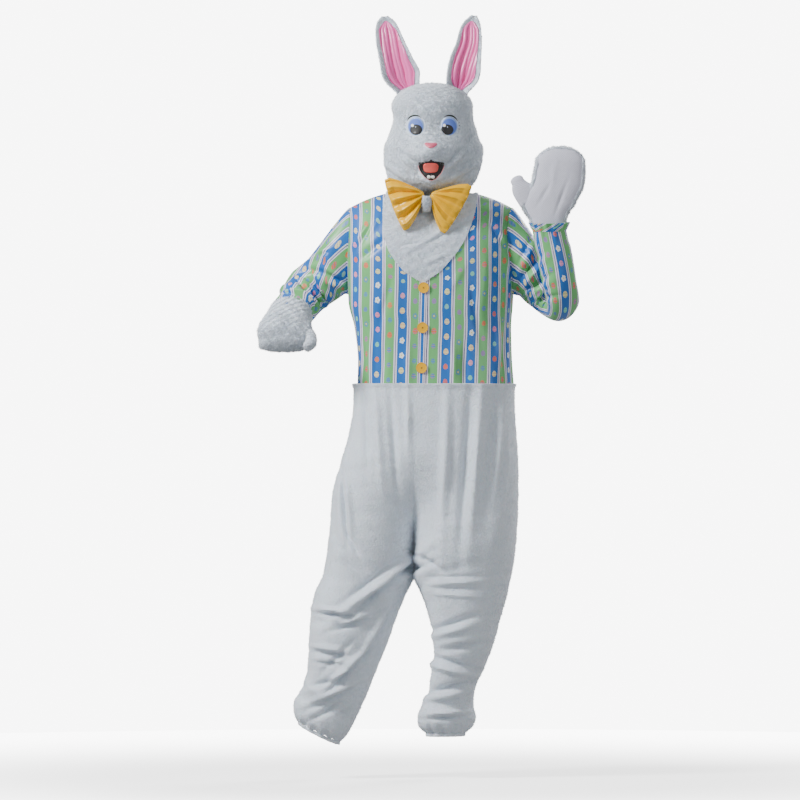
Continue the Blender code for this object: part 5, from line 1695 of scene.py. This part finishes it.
def make_mittens():
    """Both mittens: woven palms, plush backs that roll over the edge, and thumbs."""
    woven = shared_material("brushed palm weave", woven_material, "d9dae7", "b4b6ca")
    stations = np.concatenate([np.linspace(0.0, 1.0, 60), 1.0 + np.linspace(0.0, 1.0, 40)[1:]])[:, None]
    for word, hand, thumb in (("left", HIGH_MITTEN, HIGH_THUMB), ("right", LOW_MITTEN, LOW_THUMB)):
        angles = np.linspace(0.0, 180.0, 60)[None, :]
        points = hand(angles, stations)
        relief = folds_at(MITTEN_CREASES, points[..., 0], points[..., 2])
        cloth = lay_cloth(points, sizes().satin_wall, relief=relief)
        piece = build_cloth("mitten_palm_cloth_" + word, cloth, woven, sharp=80.0)
        place_piece(piece, "mitten_palm", "mitten_palm_" + word)
        rim = (np.abs(np.cos(np.radians(angles))) > 0.9) * np.ones(stations.shape)
        rim = np.maximum(rim, (stations > 1.7) * np.ones(angles.shape))
        pile = grow_pile("mitten_rim_pile_" + word, cloth, 9000, sizes().body_pile * 1.4, pile_white(), 61, keep=rim)
        angles = np.linspace(360.0 + MITTEN_ROLL, 180.0 - MITTEN_ROLL, 80)[None, :]
        points = hand(angles, stations)
        cloth = lay_cloth(points, 0.0035, relief=noise_at(points, 14.0, 5) * 1.2 + 1.4)
        piece = build_cloth("mitten_back_cloth_" + word, cloth, body_plush(), sharp=80.0)
        place_piece(piece, "plush", "mitten_back_" + word)
        pile = grow_pile("mitten_back_pile_" + word, cloth, 24000, sizes().body_pile * 1.9, pile_white(), 63,
                         comb=(0.0, 0.0, -0.8))
        tip = 1.0 + np.linspace(0.0, 0.95, 24)[1:]
        thumb_stations = np.concatenate([np.linspace(0.0, 1.0, 30), tip])[:, None]
        angles = np.linspace(0.0, 360.0, 64, endpoint=False)[None, :]
        cloth = lay_cloth(thumb(angles, thumb_stations), sizes().satin_wall, closed=True)
        own = woven if word == "left" else body_plush()
        piece = build_cloth("mitten_thumb_cloth_" + word, cloth, own, sharp=80.0)
        place_piece(piece, "mitten_palm" if word == "left" else "plush", "mitten_thumb_" + word)
        if word == "right":
            grow_pile("mitten_thumb_pile_" + word, cloth, 5000, sizes().body_pile * 1.6,
                                         pile_white(), 65)


# Bow tie

BOW_DEPTH = -122.8
BOW_SQUARENESS = 3.0
BowSection = namedtuple("BowSection", "station reach half_width front back")
BOW_SECTIONS = [
    # from the gathered end at the knot to the wide end
    BowSection(0.00, 4, 7, 7, 6),
    BowSection(0.25, 17, 22, 13, 10),
    BowSection(0.50, 35, 41, 17, 13),
    BowSection(0.75, 54, 59, 17, 13),
    BowSection(1.00, 74, 73, 12, 10),
]
BOW_ENDS = {
    # where its gathered end lies, and which way the loop points
    "right": ((-15.8, 14), (-0.94, -0.35)),
    "left": ((-3.9, 14), (0.866, -0.5)),
}
BOW_PLEATS = {
    # by place across the loop from -1 to 1: middle, half width and height of each radiating pleat
    "right": [(-0.78, 0.09, 7.0), (-0.52, 0.07, -7.5), (-0.28, 0.10, 8.5), (-0.04, 0.06, -8.5), (0.18, 0.09, 8.0),
              (0.42, 0.06, -8.5), (0.66, 0.09, 7.0), (0.86, 0.05, -5.0)],
    "left": [(-0.84, 0.07, 6.0), (-0.60, 0.06, -7.5), (-0.36, 0.09, 8.5), (-0.10, 0.06, -8.5), (0.12, 0.09, 8.5),
             (0.36, 0.06, -8.0), (0.58, 0.08, 7.5), (0.82, 0.06, -6.0)],
}


def bow_loop(word):
    """A bow loop whose cloth is gathered at the knot and fans out in pleats."""
    gathered_end, way = BOW_ENDS[word]
    rows = [
        (section.station, gathered_end[0] + way[0] * section.reach, BOW_DEPTH,
         gathered_end[1] + way[1] * section.reach, section.half_width, section.front, section.back)
        for section in BOW_SECTIONS
    ]

    def pleated(point, angle, station):
        across = signed_power(np.cos(np.radians(angle)), 2.0 / BOW_SQUARENESS)
        rise = sum(height * np.exp(-((across - middle) / half) ** 2) for middle, half, height in BOW_PLEATS[word])
        front = np.where(np.sin(np.radians(angle)) > 0, 1.0, -0.7)
        depth = ease(station / 0.55) * (1.0 - 0.75 * ease((station - 1.4) / 0.5))
        point[..., 1] -= rise * front * depth * ease(np.abs(np.sin(np.radians(angle))) / 0.35)
        return point
    return Bag(rows, over=(abs(way[1]), 0, abs(way[0])), ridge=rounded_end(20.0, 13.0), squareness=BOW_SQUARENESS,
               along=(way[0], 0, way[1]), finish=pleated)


def make_bow():
    """Two pleated satin loops and the small plush knot between them."""
    satin = shared_material("yellow bow satin", satin_material, list(colours().bow), 0.3)
    stations = np.concatenate([np.linspace(0.0, 1.0, 60), 1.0 + np.linspace(0.0, 0.94, 30)[1:]])[:, None]
    angles = np.linspace(0.0, 360.0, 240, endpoint=False)[None, :]
    for word in BOW_ENDS:
        cloth = lay_cloth(bow_loop(word)(angles, stations), sizes().satin_wall, closed=True)
        piece = build_cloth("bow_satin_" + word, cloth, satin, sharp=70.0)
        place_piece(piece, "bow_satin", "bow_loop_" + word)
    knot = Bag([
        (0.0, -13, BOW_DEPTH, 7.0, 8.0, 16, 13),
        (0.5, -13, BOW_DEPTH - 2, -10.0, 12.5, 20, 14),
        (1.0, -13, BOW_DEPTH, -24.0, 8.5, 14, 12),
    ], over=(1, 0, 0), along=(0, 0, -1), ridge=rounded_end(9.0, 3.0))
    stations = np.concatenate([np.linspace(0.0, 1.0, 24), 1.0 + np.linspace(0.0, 0.92, 12)[1:]])[:, None]
    cloth = lay_cloth(knot(np.linspace(0.0, 360.0, 64, endpoint=False)[None, :], stations), 0.0025, closed=True)
    piece = build_cloth("bow_knot_plush", cloth, body_plush(), sharp=80.0)
    place_piece(piece, "plush", "bow_knot")
    pile = grow_pile("bow_knot_pile", cloth, 4000, sizes().body_pile * 1.6, pile_white(), 71)


# Stage

CAMERA_PLACE = (-0.083, -20.0, -0.536)
CAMERA_LENS = 335.8
FLOOR_HEIGHT = -1.55
FLOOR_RADIUS = 3.0
LIGHTS = (
    # name, place, what it is turned to, size and power
    ("key", (-3.5, -2.5, 2.3), (0.0, 0.0, -0.5), 1.2, 400.0),
    ("fill", (3.4, -4.4, 0.2), (0.0, 0.0, -0.6), 2.6, 45.0),
    ("rear", (2.6, 3.8, 2.2), (0.0, 0.0, -0.5), 2.0, 260.0),
)
SURROUND_LIGHT = 0.44
SURROUND_SEEN = 8.0
FLOOR_GLOW = 1.7
FLOOR_POOL = 0.7


def paper_material(name):
    """Matt white studio paper with a painted glow: its emission rises outwards from a dimmer middle until its rim is
    lost in the surround.
    """
    material, tree, shader = new_material(name, {
        "Base Color": rgba("fbfbfb"), "Roughness": 0.9, "Emission Color": (1.0, 1.0, 1.0, 1.0),
    })
    place = add_node(tree, "ShaderNodeTexCoord").outputs["Object"]
    flat = add_node(tree, "ShaderNodeVectorMath", {"operation": "MULTIPLY"}, {0: place, 1: (1.0, 1.0, 0.0)})
    reach = add_node(tree, "ShaderNodeVectorMath", {"operation": "LENGTH"}, {0: flat.outputs[0]})
    # painted glow: the emission strength grows from the middle of the floor to its rim
    glow = add_node(tree, "ShaderNodeMapRange", {"interpolation_type": "SMOOTHSTEP"}, {
        "Value": reach.outputs["Value"], "From Min": FLOOR_POOL, "From Max": 0.95 * FLOOR_RADIUS,
        "To Min": FLOOR_GLOW, "To Max": SURROUND_SEEN,
    })
    tree.links.new(glow.outputs[0], shader.inputs["Emission Strength"])
    return material


def add_surround():
    """A plain white surround that is brighter to look at than the soft light it gives."""
    world = bpy.data.worlds.new("studio")
    world.use_nodes = True
    tree = world.node_tree
    white = (1.0, 1.0, 1.0, 1.0)
    soft = add_node(tree, "ShaderNodeBackground", inputs={"Color": white, "Strength": SURROUND_LIGHT})
    seen = add_node(tree, "ShaderNodeBackground", inputs={"Color": white, "Strength": SURROUND_SEEN})
    ray = add_node(tree, "ShaderNodeLightPath")
    both = add_node(tree, "ShaderNodeMixShader", inputs={
        0: ray.outputs["Is Camera Ray"], 1: soft.outputs[0], 2: seen.outputs[0],
    })
    tree.links.new(both.outputs[0], tree.nodes["World Output"].inputs["Surface"])
    bpy.context.scene.world = world


def make_stage():
    """Pale round floor, soft lights, a white surround and the camera at the photo's angle."""
    bpy.ops.object.select_all(action="DESELECT")
    bpy.ops.mesh.primitive_circle_add(vertices=128, radius=FLOOR_RADIUS, fill_type="NGON",
                                      location=(0.0, 0.0, FLOOR_HEIGHT))
    floor = bpy.context.object
    floor.name = "stage_floor"
    bpy.ops.object.transform_apply(location=True)
    floor.data.materials.append(shared_material("white studio paper", paper_material))
    floor.visible_diffuse = False
    floor.visible_glossy = False
    for name, place, target, size, power in LIGHTS:
        light = bpy.data.lights.new(name, "AREA")
        light.size = size
        light.energy = power
        lamp = bpy.data.objects.new(name, light)
        lamp.visible_camera = False
        lamp.location = place
        lamp.rotation_euler = (Vector(target) - Vector(place)).to_track_quat("-Z", "Y").to_euler()
        bpy.context.collection.objects.link(lamp)
    add_surround()
    lens = bpy.data.cameras.new("photo")
    lens.lens = CAMERA_LENS
    camera = bpy.data.objects.new("photo", lens)
    camera.location = CAMERA_PLACE
    camera.rotation_euler = (math.radians(90), 0, 0)
    bpy.context.collection.objects.link(camera)
    bpy.context.scene.camera = camera


# Operators, one for each group of like pieces

class COSTUME_OT_top(bpy.types.Operator):
    """Fronts and backs of the top in printed satin."""

    bl_idname = "costume.top"
    bl_label = "Top"

    def execute(self, context):
        make_top()
        return {"FINISHED"}


class COSTUME_OT_placket(bpy.types.Operator):
    """The narrow striped placket down the front."""

    bl_idname = "costume.placket"
    bl_label = "Placket"

    def execute(self, context):
        make_placket()
        return {"FINISHED"}


class COSTUME_OT_bib(bpy.types.Operator):
    """The plush bib behind the V neck."""

    bl_idname = "costume.bib"
    bl_label = "Bib"

    def execute(self, context):
        make_bib()
        return {"FINISHED"}


class COSTUME_OT_buttons(bpy.types.Operator):
    """Three turned buttons with their thread."""

    bl_idname = "costume.buttons"
    bl_label = "Buttons"

    def execute(self, context):
        make_buttons()
        return {"FINISHED"}


class COSTUME_OT_sleeves(bpy.types.Operator):
    """Both sleeves with their elastic cuffs and ruffles."""

    bl_idname = "costume.sleeves"
    bl_label = "Sleeves"

    def execute(self, context):
        make_sleeves()
        return {"FINISHED"}


class COSTUME_OT_trousers(bpy.types.Operator):
    """The plush trousers with their ankle casings."""

    bl_idname = "costume.trousers"
    bl_label = "Trousers"

    def execute(self, context):
        make_trousers()
        return {"FINISHED"}


class COSTUME_OT_mask(bpy.types.Operator):
    """The full-head mask in curly plush."""

    bl_idname = "costume.mask"
    bl_label = "Mask"

    def execute(self, context):
        make_mask()
        return {"FINISHED"}


class COSTUME_OT_ears(bpy.types.Operator):
    """Plush ears with creased satin fronts."""

    bl_idname = "costume.ears"
    bl_label = "Ears"

    def execute(self, context):
        make_ears()
        return {"FINISHED"}


class COSTUME_OT_face(bpy.types.Operator):
    """Eyes, brows, nose, mouth, tongue and teeth."""

    bl_idname = "costume.face"
    bl_label = "Face"

    def execute(self, context):
        make_face()
        return {"FINISHED"}


class COSTUME_OT_mittens(bpy.types.Operator):
    """Mittens with woven palms and plush backs."""

    bl_idname = "costume.mittens"
    bl_label = "Mittens"

    def execute(self, context):
        make_mittens()
        return {"FINISHED"}


class COSTUME_OT_bow(bpy.types.Operator):
    """The pleated satin bow tie with its plush knot."""

    bl_idname = "costume.bow"
    bl_label = "Bow"

    def execute(self, context):
        make_bow()
        return {"FINISHED"}


class COSTUME_OT_stage(bpy.types.Operator):
    """Floor, surround, lights and camera."""

    bl_idname = "costume.stage"
    bl_label = "Stage"

    def execute(self, context):
        make_stage()
        return {"FINISHED"}


OPERATORS = [
    COSTUME_OT_top, COSTUME_OT_placket, COSTUME_OT_bib,
    COSTUME_OT_buttons, COSTUME_OT_sleeves, COSTUME_OT_trousers,
    COSTUME_OT_mask, COSTUME_OT_ears, COSTUME_OT_face,
    COSTUME_OT_mittens, COSTUME_OT_bow, COSTUME_OT_stage,
]


class COSTUME_PT_panel(bpy.types.Panel):
    """Buttons and sizes of the costume."""

    bl_label = "Easter Bunny Costume"
    bl_space_type = "VIEW_3D"
    bl_region_type = "UI"
    bl_category = "Costume"

    def draw(self, context):
        for made in OPERATORS:
            self.layout.operator(made.bl_idname)
        for group in (context.scene.costume_sizes, context.scene.costume_colours):
            for name in group.__annotations__:
                self.layout.prop(group, name)


CLASSES = [CostumeSizes, CostumeColours, *OPERATORS, COSTUME_PT_panel]


def register():
    for made in CLASSES:
        bpy.utils.register_class(made)
    bpy.types.Scene.costume_sizes = bpy.props.PointerProperty(type=CostumeSizes)
    bpy.types.Scene.costume_colours = bpy.props.PointerProperty(type=CostumeColours)


def unregister():
    del bpy.types.Scene.costume_colours
    del bpy.types.Scene.costume_sizes
    for made in reversed(CLASSES):
        bpy.utils.unregister_class(made)


def main():
    register()
    for made in OPERATORS:
        name = made.bl_idname.removeprefix("costume.")
        if getattr(bpy.ops.costume, name)() != {"FINISHED"}:
            raise RuntimeError(name + " was cancelled")


if __name__ == "__main__":
    main()
